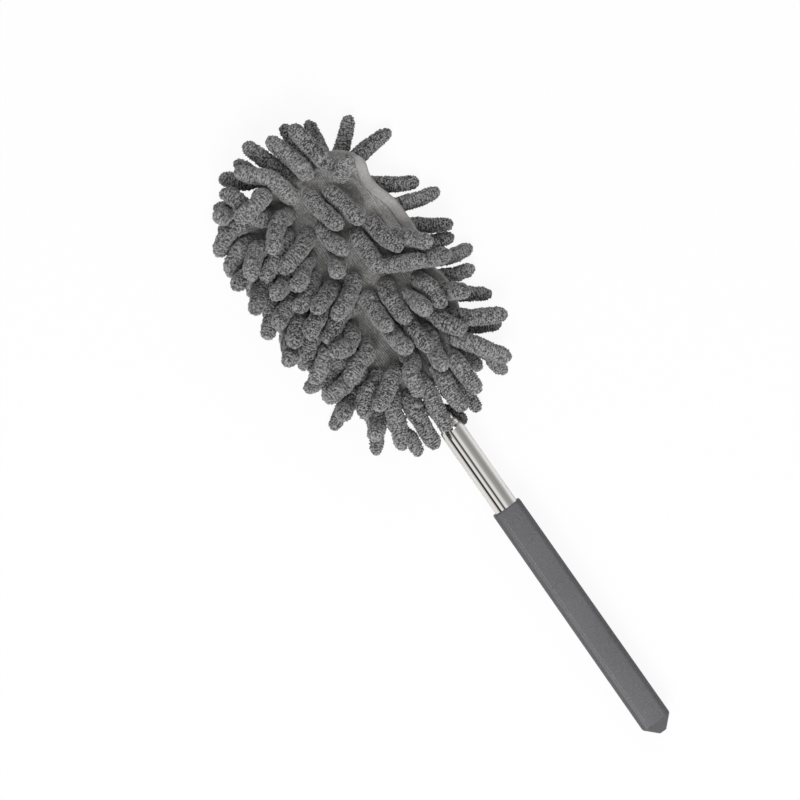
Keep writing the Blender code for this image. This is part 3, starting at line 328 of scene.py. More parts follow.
def channel_height(x, y):
    """Half the height of the space between the two cloths: the blade's channel and the neck's throat."""
    x = np.asarray(x, dtype=float)
    out = np.abs(np.asarray(y, dtype=float))
    neck_end = NECK_START + NECK_LENGTH
    fall = np.clip((x - neck_end) / (SHOULDER_LENGTH * SHOULDER_FLAT_SHARE), 0.0, 1.0)
    throat = THROAT_HALF_HEIGHT + (CHANNEL_HALF_HEIGHT - THROAT_HALF_HEIGHT) * fall
    beside = np.clip((out - THROAT_HALF_WIDTH) / THROAT_RAMP, 0.0, 1.0)
    height = throat + (CHANNEL_HALF_HEIGHT - throat) * beside
    side = np.clip((out - CHANNEL_HALF_WIDTH) / CHANNEL_RAMP, 0.0, 1.0)
    end = np.clip((x - CHANNEL_END) / CHANNEL_RAMP, 0.0, 1.0)
    shut = np.maximum(side, end)
    return height + (WING_GAP - height) * shut


def cover_height(x, y):
    """Height of the sleeve's outer surface over the middle plane, with the side bindings on it."""
    x = np.asarray(x, dtype=float)
    out = np.abs(np.asarray(y, dtype=float))
    edge = sleeve_half_width(x)
    cloth = channel_height(x, y) + CLOTH_THICKNESS
    binding = BINDING_INSIDE + BINDING_THICKNESS
    straight = (x > BINDING_START) & (x < SLEEVE_TOP - SLEEVE_CORNER)
    on_binding = straight & (out > edge - BINDING_WIDTH)
    height = np.where(on_binding, np.maximum(cloth, binding), cloth)
    reach = edge + BINDING_CLEARANCE + BINDING_THICKNESS
    inside = (x > SLEEVE_MOUTH) & (x < SLEEVE_TOP) & (out < reach)
    before = (x <= SLEEVE_MOUTH) & (out < MOUTH_HALF_WIDTH)
    height = np.where(before, MOUTH_RADIUS + MOUTH_TAPE_THICKNESS, height)
    return np.where(inside | before, height, -1.0)


def floor_height(x):
    """Height of the floor under the pole's axis, which climbs from the grip to the head."""
    grip_side = -GRIP_DEPTH / 2.0
    slope = (AXIS_TO_FLOOR_AT_HEAD + grip_side) / (HEAD_MIDDLE - GRIP_POINT_LENGTH)
    return grip_side - slope * (np.asarray(x, dtype=float) - GRIP_POINT_LENGTH)


def field_point(along, across):
    """A place given in hundredths of the field of fingers."""
    return FIELD_START + FIELD_LENGTH * along / 100.0, SLEEVE_HALF_WIDTH * across / 100.0


def inside_cloth(x, y):
    """Draws a finger's root in from the sleeve's edges and bindings."""
    margin = FINGER_ROOT_RADIUS + REST_GAP
    x = min(max(x, SLEEVE_MOUTH + margin), SLEEVE_TOP - margin)
    limit = float(sleeve_half_width(x)) - margin
    if BINDING_START - margin < x < SLEEVE_TOP - SLEEVE_CORNER + margin:
        limit -= BINDING_WIDTH
    return x, max(-limit, min(limit, y))


def list_fingers():
    """Every finger: root and tip in plan, the side of the sleeve (1 front, -1 back) and its layer."""
    fingers = []
    for rows, side in ((FRONT_FINGER_SHARES, 1.0), (BACK_SHOWN_SHARES, -1.0)):
        for root_along, root_across, tip_along, tip_across, layer in rows:
            root = inside_cloth(*field_point(root_along, root_across))
            fingers.append([root, field_point(tip_along, tip_across), side, layer])
    for along, places in BACK_ROW_SHARES:
        for across in places:
            root = inside_cloth(*field_point(along, across))
            lean = math.copysign(BACK_ROW_SPREAD_SHARE, across)
            tip = field_point(along - BACK_ROW_LEAN_SHARE, across + lean)
            fingers.append([root, tip, -1.0, 0])
    spread_roots(fingers)
    return fingers


def spread_roots(fingers):
    """Moves roots of one side that stand too close together away from each other."""
    for _ in range(SPREAD_STEPS):
        for i, first in enumerate(fingers):
            for second in fingers[:i]:
                across = (first[0][0] - second[0][0], first[0][1] - second[0][1])
                apart = max(math.hypot(*across), REST_GAP)
                if first[2] != second[2] or apart >= FINGER_ROOT_SPACING:
                    continue
                push = (FINGER_ROOT_SPACING - apart) * 0.5 / apart
                step = (across[0] * push, across[1] * push)
                first[0] = inside_cloth(first[0][0] + step[0], first[0][1] + step[1])
                second[0] = inside_cloth(second[0][0] - step[0], second[0][1] - step[1])


def first_guess(fingers):
    """Straight centre lines over their places in plan, rising from the cloth by layer."""
    lines = np.zeros((len(fingers), FINGER_JOINTS, 3))
    for index, (root, tip, side, layer) in enumerate(fingers):
        start = np.array(root)
        end = np.array(tip)
        reach = np.linalg.norm(end - start)
        end = end - (end - start) * (FINGER_TIP_REACH / reach)
        base = float(cover_height(*root)) - FINGER_SINK
        for joint in range(FINGER_JOINTS):
            share = joint / (FINGER_JOINTS - 1)
            lines[index, joint, :2] = start + (end - start) * share
            climb = math.sin(min(1.0, share / FIRST_RISE_END) * math.pi / 2.0)
            rise = FINGER_RADIUS * FIRST_RISE_SHARE * climb
            rise += FINGER_LIFT * layer * share
            if side < 0.0:
                rise = rise * BACK_RISE_SHARE
            lines[index, joint, 2] = side * (base + rise)
    return lines


def push_apart(lines, movable, level_share):
    """Moves touching stretches of different fingers away from each other by half the overlap each."""
    count, joints, _ = lines.shape
    middles = (lines[:, :-1] + lines[:, 1:]) / 2.0
    samples = np.concatenate((lines[:, 1:], middles), axis=1)
    per_finger = samples.shape[1]
    flat = samples.reshape(-1, 3)
    owner = np.repeat(np.arange(count), per_finger)
    square = (flat ** 2).sum(axis=1)
    apart = square[:, None] + square[None, :] - 2.0 * flat @ flat.T
    limit = 2.0 * FINGER_RADIUS + REST_GAP
    near = (apart < limit * limit) & (owner[:, None] < owner[None, :])
    first, second = np.nonzero(near)
    if len(first) == 0:
        return
    gap = flat[first] - flat[second]
    distance = np.linalg.norm(gap, axis=1)
    distance = np.maximum(distance, LEAST_LENGTH)
    push = gap / distance[:, None] * ((limit - distance) * 0.5)[:, None]
    push[:, :2] *= level_share
    shift = np.zeros_like(flat)
    hits = np.zeros(len(flat))
    np.add.at(shift, first, push)
    np.add.at(shift, second, -push)
    np.add.at(hits, first, 1.0)
    np.add.at(hits, second, 1.0)
    shift /= np.maximum(1.0, hits * CROWD_SHARE)[:, None]
    shift = shift.reshape(count, per_finger, 3)
    moved = np.zeros_like(lines)
    moved[:, 1:] += shift[:, :joints - 1]
    moved[:, :-1] += shift[:, joints - 1:] * 0.5
    moved[:, 1:] += shift[:, joints - 1:] * 0.5
    lines += moved * movable


def keep_outside(lines, side):
    """Keeps centre lines off the cloth, the pole and the floor."""
    height = lines[:, 1:, 2] * side[:, None]
    cover = cover_height(lines[:, 1:, 0], lines[:, 1:, 1])
    room = np.full(cover.shape[1], FINGER_RADIUS + REST_GAP)
    room[0] = FINGER_BODY_RADIUS
    height = np.where(cover > 0.0, np.maximum(height, cover + room), height)
    lines[:, 1:, 2] = height * side[:, None]
    shell = SECTION_RADII[0] + FINGER_RADIUS + 2.0 * REST_GAP
    y, z = lines[:, 2:, 1], lines[:, 2:, 2]
    off = np.maximum(np.hypot(y, z), LEAST_OFFSET)
    close = (lines[:, 2:, 0] < SLEEVE_MOUTH) & (off < shell)
    grow = np.where(close, shell / off, 1.0)
    lines[:, 2:, 1] = y * grow
    lines[:, 2:, 2] = z * grow
    ground = floor_height(lines[:, 1:, 0]) + FINGER_RADIUS - FLOOR_CUT
    lines[:, 1:, 2] = np.maximum(lines[:, 1:, 2], ground)


def settle(fingers):
    """Bends the centre lines until the fingers lie beside and on each other, each at its length."""
    lines = first_guess(fingers)
    wanted = lines[:, :, :2].copy()
    side = np.array([finger[2] for finger in fingers])
    plan = np.linalg.norm(wanted[:, -1] - wanted[:, 0], axis=1)
    length = np.maximum(plan, FINGER_LENGTH - FINGER_TIP_REACH)
    step = length / (FINGER_JOINTS - 1)
    movable = np.ones((1, FINGER_JOINTS, 1))
    movable[0, 0] = 0.0
    movable[0, 1] = ROOT_YIELD_SHARE
    for _ in range(SETTLE_STEPS):
        lines[:, 2:, 2] -= DROOP
        push_apart(lines, movable, LEVEL_SHARE)
        lines[:, 1:, :2] += HOLD_SHARE * (wanted[:, 1:] - lines[:, 1:, :2])
        middle = (lines[:, :-2] + lines[:, 2:]) / 2.0
        lines[:, 1:-1] += SMOOTH_SHARE * (middle - lines[:, 1:-1])
        for joint in range(1, FINGER_JOINTS):
            link = lines[:, joint] - lines[:, joint - 1]
            size = np.maximum(np.linalg.norm(link, axis=1), LEAST_LENGTH)
            lines[:, joint] -= link * (STRETCH_SHARE * (size - step) / size)[:, None]
        keep_outside(lines, side)
    for _ in range(EASE_STEPS):
        push_apart(lines, movable, 1.0)
        keep_outside(lines, side)
    return lines


# Node trees

class Number:
    """A number socket that takes part in sums: an expression on it adds its Math nodes."""

    def __init__(self, maker, socket):
        self.maker = maker
        self.socket = socket

    def result(self, operation, *terms):
        return self.maker.number("ShaderNodeMath", {"operation": operation}, dict(enumerate(terms)))

    def __add__(self, other):
        return self.result("ADD", self, other)

    def __sub__(self, other):
        return self.result("SUBTRACT", self, other)

    def __rsub__(self, other):
        return self.result("SUBTRACT", other, self)

    def __mul__(self, other):
        return self.result("MULTIPLY", self, other)

    def __truediv__(self, other):
        return self.result("DIVIDE", self, other)

    def __rtruediv__(self, other):
        return self.result("DIVIDE", other, self)

    __radd__ = __add__
    __rmul__ = __mul__

    def at_least(self, other):
        return self.result("MAXIMUM", self, other)

    def at_most(self, other):
        return self.result("MINIMUM", self, other)

    def root(self):
        return self.result("SQRT", self)

    def sine(self):
        return self.result("SINE", self)

    def clamped(self):
        """The number kept between 0 and 1."""
        return self.at_least(0.0).at_most(1.0)

    def eased(self, low, high):
        """0 below low, 1 above high, and smooth between."""
        sockets = {"Value": self, "From Min": low, "From Max": high}
        return self.maker.number("ShaderNodeMapRange", {"interpolation_type": "SMOOTHSTEP"}, sockets)


class Maker:
    """Adds nodes to one tree, each with its settings and what its sockets hold."""

    def __init__(self, tree):
        self.tree = tree

    def node(self, kind, settings=None, sockets=None):
        made = self.tree.nodes.new(kind)
        for name, setting in (settings or {}).items():
            if name == "stops":
                ramp = made.color_ramp
                while len(ramp.elements) < len(setting):
                    ramp.elements.new(0.5)
                for element, (place, colour) in zip(ramp.elements, setting):
                    element.position = place
                    element.color = (*colour, 1.0)
            else:
                setattr(made, name, setting)
        self.feed(made, sockets or {})
        return made

    def feed(self, node, sockets):
        """Gives a node's sockets what they hold: a value, a number or a link."""
        for key, content in sockets.items():
            if isinstance(content, Number):
                content = content.socket
            if isinstance(content, bpy.types.NodeSocket):
                self.tree.links.new(content, node.inputs[key])
            else:
                node.inputs[key].default_value = content

    def out(self, kind, settings=None, sockets=None, output=0):
        """The output socket of a new node."""
        return self.node(kind, settings, sockets).outputs[output]

    def number(self, kind, settings=None, sockets=None, output=0):
        """A new node's output, as a number that takes part in sums."""
        return Number(self, self.out(kind, settings, sockets, output))


def new_material(name):
    """An empty material with its tree, its maker and its Principled shader."""
    material = bpy.data.materials.new(name)
    material.use_nodes = True
    maker = Maker(material.node_tree)
    shader = material.node_tree.nodes["Principled BSDF"]
    return material, maker, shader


def grain(maker, size, detail=2.0, stretch=(1.0, 1.0, 1.0)):
    """Noise of about one grain to each size, on the piece's own coordinates."""
    place = maker.out("ShaderNodeTexCoord", output="Object")
    place = maker.out("ShaderNodeMapping", None, {"Vector": place, "Scale": stretch})
    sockets = {"Vector": place, "Scale": 1.0 / size, "Detail": detail}
    return maker.number("ShaderNodeTexNoise", None, sockets)


def blend_colours(maker, share, first, second):
    """A colour between two, by a share."""
    sockets = {"Factor": share, 6: (*first, 1.0), 7: (*second, 1.0)}
    return maker.out("ShaderNodeMix", {"data_type": "RGBA"}, sockets, output=2)


def bump(maker, height, distance, strength):
    """A normal from a height between 0 and 1."""
    sockets = {"Height": height, "Distance": distance, "Strength": strength}
    return maker.out("ShaderNodeBump", None, sockets)


# Finishes. A table of weights says how much each part of a pattern counts, and its base is the rest.
# A bump's two numbers are its height and its strength.

# The pile weight paints shade into the hollows between the tufts; speck and fibre add random specks.
CHENILLE_WEIGHTS = {"pile": 1.1, "speck": 2.7, "fibre": 1.0, "base": -1.98}
CHENILLE_RANGE = (0.1, 0.9)     # of the sum, over which the pile turns from painted shade in its hollows to light on its tufts
TONE_WEIGHTS = {"pile": 0.88, "tone": 0.16}
CHENILLE_HEIGHTS = {"speck": 0.7, "fibre": 0.3}
CHENILLE_BUMP = (0.45 * MM, 1.0)
CHENILLE_SURFACE = {
    "Roughness": 0.95, "Specular IOR Level": 0.15, "Sheen Weight": 0.35, "Sheen Roughness": 0.5,
}
SPECK_SIZE = 0.5 * MM
PILE_FIBRE_SIZE = 0.2 * MM

KNITS = {                       # size of the fibres, share of nap, and how much painted shade darkens the cloth among the fingers
    "sleeve_knit": (0.45 * MM, 1.0, 0.42), "edge_tape": (0.4 * MM, 0.45, 0.0),
    "sewing_thread": (0.2 * MM, 0.3, 0.0), "mouth_hem_knit": (0.4 * MM, 0.5, 0.0),
}
NAP_WEIGHTS = {"fibre": 1.7, "nap": 1.5, "base": -1.6}
# The negative weight paints shade on the cloth among the fingers.
KNIT_WEIGHTS = {"cloud": 0.8, "nap": 1.0, "wales": 0.075, "fluff": -1.0, "base": 0.15}
KNIT_HEIGHTS = {"fibre": 0.5, "nap": 0.5, "wales": 0.25}
KNIT_BUMP = (0.5 * MM, 0.9)
KNIT_SURFACE = {"Roughness": 0.85, "Specular IOR Level": 0.2, "Sheen Weight": 0.2}
KNIT_CLOUD = 7.0 * MM           # size of the knit's mottle
FIBRE_STRETCH = (0.6, 1.0, 1.0)
NAP_COARSENESS = 2.4            # size of the nap's specks over that of its fibres
WALE_PITCH = 0.95 * MM          # of the knit's fine ribs, which run along the pole
WALE_DRIFT = 11.0               # radians that they wander
BARE_EDGE = 32.0 * MM           # from the pole's axis, where the cloth has no fingers and its painted shade ends
BARE_FROM = 0.45                # of that distance squared, up to which the painted shade among the fingers is full

PLASTICS = {                    # roughness, and grain of the texture
    # The parting line's plastic, the second here, is lightened as a painted highlight.
    "grip_plastic_matt": (0.5, 0.4 * MM), "grip_plastic_painted_highlight": (0.35, 0.4 * MM),
    "plug_plastic_matt": (0.55, 0.5 * MM), "paddle_plastic_satin": (0.42, 0.6 * MM),
}
PLASTIC_SHADES = (0.68, 1.35)   # of the plastic's colour, where it is darkest and lightest
PLASTIC_WEIGHTS = {"cloud": 0.5, "fine": 3.2, "base": -1.35}
PLASTIC_ROUGHNESS_SPREAD = 0.12
PLASTIC_BUMP = (0.12 * MM, 0.6)
PLASTIC_CLOUD = 25.0 * MM

METALS = {                      # roughness, and how the drawn lines are stretched
    "polished_tube": (0.055, (0.03, 1.0, 1.0)), "spring_brass_rolled": (0.3, (0.2, 1.0, 1.0)),
    "pressed_steel": (0.22, (1.0, 1.0, 1.0)),
}
METAL_DARK_SHARE = 0.82
METAL_ROUGHNESS_SPREAD = 0.04
METAL_BUMP = (0.01 * MM, 0.2)
METAL_LINE = 0.35 * MM
METAL_CLOUD = 14.0 * MM


def weighted(weights, **parts):
    """A sum of the parts of a pattern, each by its weight, on its base."""
    total = weights.get("base", 0.0)
    for name, part in parts.items():
        total = part * weights[name] + total
    return total


def chenille_material(colours):
    """Matt pile: light on the tufts, with painted shade in the hollows between them, each finger a little
    different.
    """
    material, maker, shader = new_material("chenille_pile")
    pile = maker.number("ShaderNodeAttribute", {"attribute_name": "pile"}, None, "Fac")
    tone = maker.number("ShaderNodeAttribute", {"attribute_name": "tone"}, None, "Fac")
    speck = grain(maker, SPECK_SIZE, 3.0)
    fibre = grain(maker, PILE_FIBRE_SIZE, 1.0)
    # Painted shade: where the tufts' stored height is low the colour darkens, mixed with random specks.
    pile = weighted(CHENILLE_WEIGHTS, pile=pile, speck=speck, fibre=fibre).eased(*CHENILLE_RANGE)
    share = weighted(TONE_WEIGHTS, pile=pile, tone=tone).clamped()
    height = weighted(CHENILLE_HEIGHTS, speck=speck, fibre=fibre)
    maker.feed(shader, {
        "Base Color": blend_colours(maker, share, colours.pile_dark, colours.pile_light),
        "Normal": bump(maker, height, *CHENILLE_BUMP), **CHENILLE_SURFACE,
    })
    return material


def knit_material(name, colours):
    """Brushed knit: fine ribs under a nap that catches the light in specks, with painted shade among the
    fingers.
    """
    material, maker, shader = new_material(name)
    size, nap_share, fluff_share = KNITS[name]
    cloud = grain(maker, KNIT_CLOUD, 2.0)
    fibre = grain(maker, size, 3.0, FIBRE_STRETCH)
    nap = grain(maker, size * NAP_COARSENESS, 3.0)
    specks = weighted(NAP_WEIGHTS, fibre=fibre, nap=nap) * nap_share
    place = maker.out("ShaderNodeTexCoord", output="Object")
    across = maker.number("ShaderNodeSeparateXYZ", None, {"Vector": place}, "Y")
    wales = (across * (math.tau / WALE_PITCH) + cloud * WALE_DRIFT).sine() * nap_share
    # Painted shade: the cloth darkens towards the pole's axis, among the fingers, and stays light on the
    # bare edge.
    offset = (across - START.y) * (1.0 / BARE_EDGE)
    fluff = (offset * offset).eased(1.0, BARE_FROM) * fluff_share
    share = weighted(KNIT_WEIGHTS, cloud=cloud, nap=specks, wales=wales, fluff=fluff).clamped()
    height = weighted(KNIT_HEIGHTS, fibre=fibre, nap=nap, wales=wales)
    reach, strength = KNIT_BUMP
    maker.feed(shader, {
        "Base Color": blend_colours(maker, share, colours.cloth_dark, colours.cloth_light),
        "Normal": bump(maker, height, reach * nap_share, strength), **KNIT_SURFACE,
    })
    return material


def moulded_material(name, colour):
    """Moulded plastic with a fine spark-eroded texture."""
    material, maker, shader = new_material(name)
    roughness, texture = PLASTICS[name]
    spread = PLASTIC_ROUGHNESS_SPREAD
    cloud = grain(maker, PLASTIC_CLOUD, 1.0)
    fine = grain(maker, texture)
    dark, light = (tuple(min(1.0, part * shade) for part in colour) for shade in PLASTIC_SHADES)
    share = weighted(PLASTIC_WEIGHTS, cloud=cloud, fine=fine).clamped()
    maker.feed(shader, {
        "Base Color": blend_colours(maker, share, dark, light),
        "Roughness": fine * spread + (roughness - spread / 2.0),
        "Normal": bump(maker, fine, *PLASTIC_BUMP),
    })
    return material


def metal_material(name, colour):
    """Drawn metal: fine lines along the tube and a little unevenness in the shine."""
    material, maker, shader = new_material(name)
    roughness, along = METALS[name]
    spread = METAL_ROUGHNESS_SPREAD
    lines = grain(maker, METAL_LINE, 2.0, along)
    cloud = grain(maker, METAL_CLOUD)
    dark = tuple(part * METAL_DARK_SHARE for part in colour)
    maker.feed(shader, {
        "Base Color": blend_colours(maker, cloud, dark, colour), "Metallic": 1.0,
        "Roughness": (lines + cloud) * spread + (roughness - spread),
        "Normal": bump(maker, lines, *METAL_BUMP),
    })
    return material


def new_geometry_tree(name, inputs):
    """A Geometry Nodes group with named inputs, its maker and its input node."""
    group = bpy.data.node_groups.new(name, "GeometryNodeTree")
    face = group.interface
    face.new_socket("Geometry", in_out="OUTPUT", socket_type="NodeSocketGeometry")
    face.new_socket("Geometry", in_out="INPUT", socket_type="NodeSocketGeometry")
    for label, kind in inputs.items():
        face.new_socket(label, in_out="INPUT", socket_type=kind)
    maker = Maker(group)
    return group, maker, maker.node("NodeGroupInput")


def end_tree(maker, given, shape):
    """Ends a tree: real faces, smooth, with the material that its input names."""
    shape = maker.out("GeometryNodeRealizeInstances", None, {"Geometry": shape})
    shape = maker.out("GeometryNodeSetShadeSmooth", None, {"Geometry": shape})
    finish = given.outputs["Material"]
    shape = maker.out("GeometryNodeSetMaterial", None, {"Geometry": shape, "Material": finish})
    maker.node("NodeGroupOutput", None, {0: shape})


def run_tree(piece, group, values):
    """Runs a group on a piece, its inputs set by identifier, and keeps the result as the mesh."""
    step = piece.modifiers.new(group.name, "NODES")
    step.node_group = group
    for item in group.interface.items_tree:
        if item.item_type == "SOCKET" and item.in_out == "INPUT" and item.name in values:
            step[item.identifier] = values[item.name]
    return baked(piece)


REAL = "NodeSocketFloat"
LEAST_GIRTH = 0.05 * MM         # of a finger at its very end
TIP_STRETCH = 1.3               # length of a finger's round tip, in radii
BARE_TIP_SHARE = 0.5            # of a finger's radius, below which its pile lies flat
TAPER_START = 0.35              # of a finger's length, where it begins to slim
TUFT_BEND = 1.2                 # tuft sizes by which noise bends the cells of the pile
TUFT_BEND_SCALE = 0.7
DRIFT_SPAN = 3.0 * MM           # of the slow noise that makes a finger uneven
DRIFT_SEED_STEP = 3.0
DRIFT_HEIGHT = 0.9 * MM
ROW_DRIFT = 9.0                 # radians that the rows of tufts wander
PILE_WEIGHTS = {"cells": -1.15, "rows": 0.2, "base": 1.12}
PILE_LEVEL = 0.6                # of the pile's height that lies inside the finger's radius


def finger_tree():
    """Centre lines become fingers: a round body with a blunt tip, roughened into tufts of pile."""
    group, maker, given = new_geometry_tree("chenille_fingers", {
        "Radius": REAL, "Root Radius": REAL, "Root Length": REAL, "Ring Spacing": REAL,
        "Sides": "NodeSocketInt", "Taper": REAL, "Pile Height": REAL, "Tuft Size": REAL, "Row Pitch": REAL,
        "Seed": REAL, "Material": "NodeSocketMaterial",
    })
    radius, root_radius, size, seed = (
        Number(maker, given.outputs[label]) for label in ("Radius", "Root Radius", "Tuft Size", "Seed"))
    spacing = given.outputs["Ring Spacing"]
    line = maker.out("GeometryNodeMeshToCurve", None, {"Mesh": given.outputs["Geometry"]})
    line = maker.out("GeometryNodeCurveSplineType", {"spline_type": "CATMULL_ROM"}, {"Curve": line})
    line = maker.out("GeometryNodeResampleCurve", {"mode": "LENGTH"}, {"Curve": line, "Length": spacing})
    along = maker.number("GeometryNodeSplineParameter", output="Length")
    length = maker.number("GeometryNodeSplineLength")
    left = ((length - along) / TIP_STRETCH).at_most(radius).at_least(0.0)
    hollow = radius - left
    tip = (radius * radius - hollow * hollow).at_least(0.0).root()
    widening = along.eased(0.0, given.outputs["Root Length"])
    body = root_radius + (radius - root_radius) * widening
    slimming = 1.0 - (along / length).eased(TAPER_START, 1.0) * given.outputs["Taper"]
    girth = (tip.at_most(body) * slimming).at_least(LEAST_GIRTH)
    stored = maker.node("GeometryNodeCaptureAttribute", {"domain": "POINT"}, {"Geometry": line})
    for place, label, content in ((1, "Row", along), (2, "Girth", girth)):
        stored.capture_items.new("FLOAT", label)
        maker.feed(stored, {place: content})
    girth = Number(maker, stored.outputs[2])
    ring = maker.out("GeometryNodeCurvePrimitiveCircle", {"mode": "RADIUS"}, {
        "Resolution": given.outputs["Sides"], "Radius": 1.0})
    skin = maker.out("GeometryNodeCurveToMesh", None, {
        "Curve": stored.outputs[0], "Profile Curve": ring, "Scale": girth, "Fill Caps": True})

    four = {"noise_dimensions": "4D"}
    scale = {"operation": "SCALE"}
    loose = {"Scale": TUFT_BEND_SCALE / size, "Detail": 2.0, "W": seed}
    loose = maker.out("ShaderNodeTexNoise", four, loose, 1)
    place = maker.out("GeometryNodeInputPosition")
    loose = maker.out("ShaderNodeVectorMath", scale, {"Vector": loose, "Scale": size * TUFT_BEND})
    bent = maker.out("ShaderNodeVectorMath", {"operation": "ADD"}, {0: place, 1: loose})
    cells = maker.number("ShaderNodeTexVoronoi", {"feature": "F1"}, {"Vector": bent, "Scale": 1.0 / size})
    drift = {"Scale": 1.0 / DRIFT_SPAN, "Detail": 1.0, "W": seed + DRIFT_SEED_STEP}
    drift = maker.number("ShaderNodeTexNoise", four, drift)
    row = Number(maker, stored.outputs[1]) / given.outputs["Row Pitch"]
    rows = (row * math.tau + drift * ROW_DRIFT).sine()
    pile = weighted(PILE_WEIGHTS, cells=cells, rows=rows).clamped()
    lift = (pile - PILE_LEVEL) * given.outputs["Pile Height"] + (drift - 0.5) * DRIFT_HEIGHT
    lift = lift * (girth / (radius * BARE_TIP_SHARE)).at_most(1.0)
    outward = maker.out("GeometryNodeInputNormal")
    shift = maker.out("ShaderNodeVectorMath", scale, {"Vector": outward, "Scale": lift})
    # The tufts' height is kept as the pile attribute, from which the chenille material paints shade into
    # the hollows.
    skin = maker.out("GeometryNodeStoreNamedAttribute", {"data_type": "FLOAT", "domain": "POINT"}, {
        "Geometry": skin, "Name": "pile", "Value": pile})
    skin = maker.out("GeometryNodeSetPosition", None, {"Geometry": skin, "Offset": shift})
    end_tree(maker, given, skin)
    return group


def stitch_tree():
    """A path becomes a row of short sewn stitches."""
    group, maker, given = new_geometry_tree("stitches", {
        "Pitch": REAL, "Stitch Length": REAL, "Thread Radius": REAL, "Material": "NodeSocketMaterial",
    })
    line = maker.out("GeometryNodeMeshToCurve", None, {"Mesh": given.outputs["Geometry"]})
    points = maker.node("GeometryNodeCurveToPoints", {"mode": "LENGTH"}, {
        "Curve": line, "Length": given.outputs["Pitch"]})
    half = Number(maker, given.outputs["Stitch Length"]) * 0.5
    thread = given.outputs["Thread Radius"]
    ball = maker.out("GeometryNodeMeshIcoSphere", None, {"Radius": 1.0, "Subdivisions": 2})
    size = maker.out("ShaderNodeCombineXYZ", None, {0: thread, 1: thread, 2: half})
    row = maker.out("GeometryNodeInstanceOnPoints", None, {
        "Points": points.outputs[0], "Instance": ball, "Rotation": points.outputs["Rotation"],
        "Scale": size})
    end_tree(maker, given, row)
    return group


# Sizes and colours that a user would change

def length(label, text, size):
    """A length property."""
    return FloatProperty(name=label, description=text, default=size, min=0.0, unit="LENGTH", precision=5)


def fraction(label, text, value):
    """A property for a share of something."""
    return FloatProperty(name=label, description=text, default=value, min=0.0, max=1.0, subtype="FACTOR")


def colour(label, text, value):
    """A colour property."""
    return FloatVectorProperty(
        name=label, description=text, default=value, size=3, min=0.0, max=1.0, subtype="COLOR")


class DusterSleeveSizes(bpy.types.PropertyGroup):
    front_radius: length("Front radius", "Radius of a front finger to the middle of its pile", 3.95 * MM)
    back_radius: length("Back radius", "Radius of a back finger to the middle of its pile", 3.75 * MM)
    front_reach: length("Front reach", "Pile past the end of a front finger's centre line", 2.2 * MM)
    back_reach: length("Back reach", "Pile past the end of a back finger's centre line", 3.4 * MM)
    front_taper: fraction("Front taper", "How much a front finger slims to its tip", 0.08)
    back_taper: fraction("Back taper", "How much a back finger slims to its tip", 0.17)
    root_radius: length("Root radius", "Radius where a finger is sewn to the cloth", 2.7 * MM)
    root_length: length("Root length", "Length over which a finger widens", 5.0 * MM)
    ring_spacing: length("Ring spacing", "Distance between the rings of a finger's mesh", 0.36 * MM)
    finger_sides: IntProperty(name="Sides", description="Sides of a finger's mesh", default=46, min=12)
    pile_height: length("Pile height", "Height of the tufts over the hollows between them", 1.05 * MM)
    tuft_size: length("Tuft size", "Size of one tuft of pile", 1.05 * MM)
    row_pitch: length("Row pitch", "Distance between the rows of tufts", 1.15 * MM)
    cloth_shell: length("Cloth shell", "Thickness of each cloth", 0.8 * MM)
    pucker: length("Pucker", "How far the cloth rises round a finger's root", 3.4 * MM)
    pucker_reach: length("Pucker reach", "How far beside a root the cloth rises", 4.2 * MM)
    crease: length("Crease", "Depth of the cloth's soft folds", 0.55 * MM)
    stitch_pitch: length("Stitch pitch", "Distance from stitch to stitch", 2.4 * MM)
    stitch_length: length("Stitch length", "Length of one stitch", 1.7 * MM)
    thread_radius: length("Thread radius", "Radius of the sewing thread", 0.16 * MM)


class DusterPoleSizes(bpy.types.PropertyGroup):
    sides: IntProperty(name="Sides", description="Sides of the round pieces", default=96, min=24)
    edge: length("Edge", "Rounding of the tubes' edges", 0.12 * MM)
    grip_edge: length("Grip edge", "Rounding of the grip's edges", 1.15 * MM)


class DusterColours(bpy.types.PropertyGroup):
    # The dark pile colour is painted shade in the hollows between tufts, mixed with dark random specks.
    pile_dark: colour("Pile, dark", "Chenille between its tufts", (0.014, 0.014, 0.015))
    pile_light: colour("Pile, light", "Chenille on its tufts", (0.388, 0.385, 0.388))
    cloth_dark: colour("Cloth, dark", "Shaded parts of the sleeve's cloth", (0.16, 0.158, 0.155))
    cloth_light: colour("Cloth, light", "Light parts of the sleeve's cloth", (0.475, 0.465, 0.45))
    grip: colour("Grip", "Moulded plastic of the grip", (0.08, 0.079, 0.0855))
    steel: colour("Steel", "Polished tubes", (0.83, 0.81, 0.78))
    brass: colour("Brass", "Spring collars", (0.55, 0.41, 0.18))
    paddle: colour("Paddle", "Flexible plastic inside the sleeve", (0.045, 0.045, 0.05))


# Chenille fingers

FINGER_GROUPS = (               # name, side, node, pieces, first seed of the tufts and of the tones
    ("front", 1.0, "front_panel", 3, 10.0, 1), ("back", -1.0, "back_panel", 2, 20.0, 11),
)


def extended(line, reach):
    """A centre line with its end pushed out by the pile's reach."""
    last = line[-1] - line[-2]
    tip = line[-1] + last / np.linalg.norm(last) * reach
    return np.vstack((line[:-1], tip))


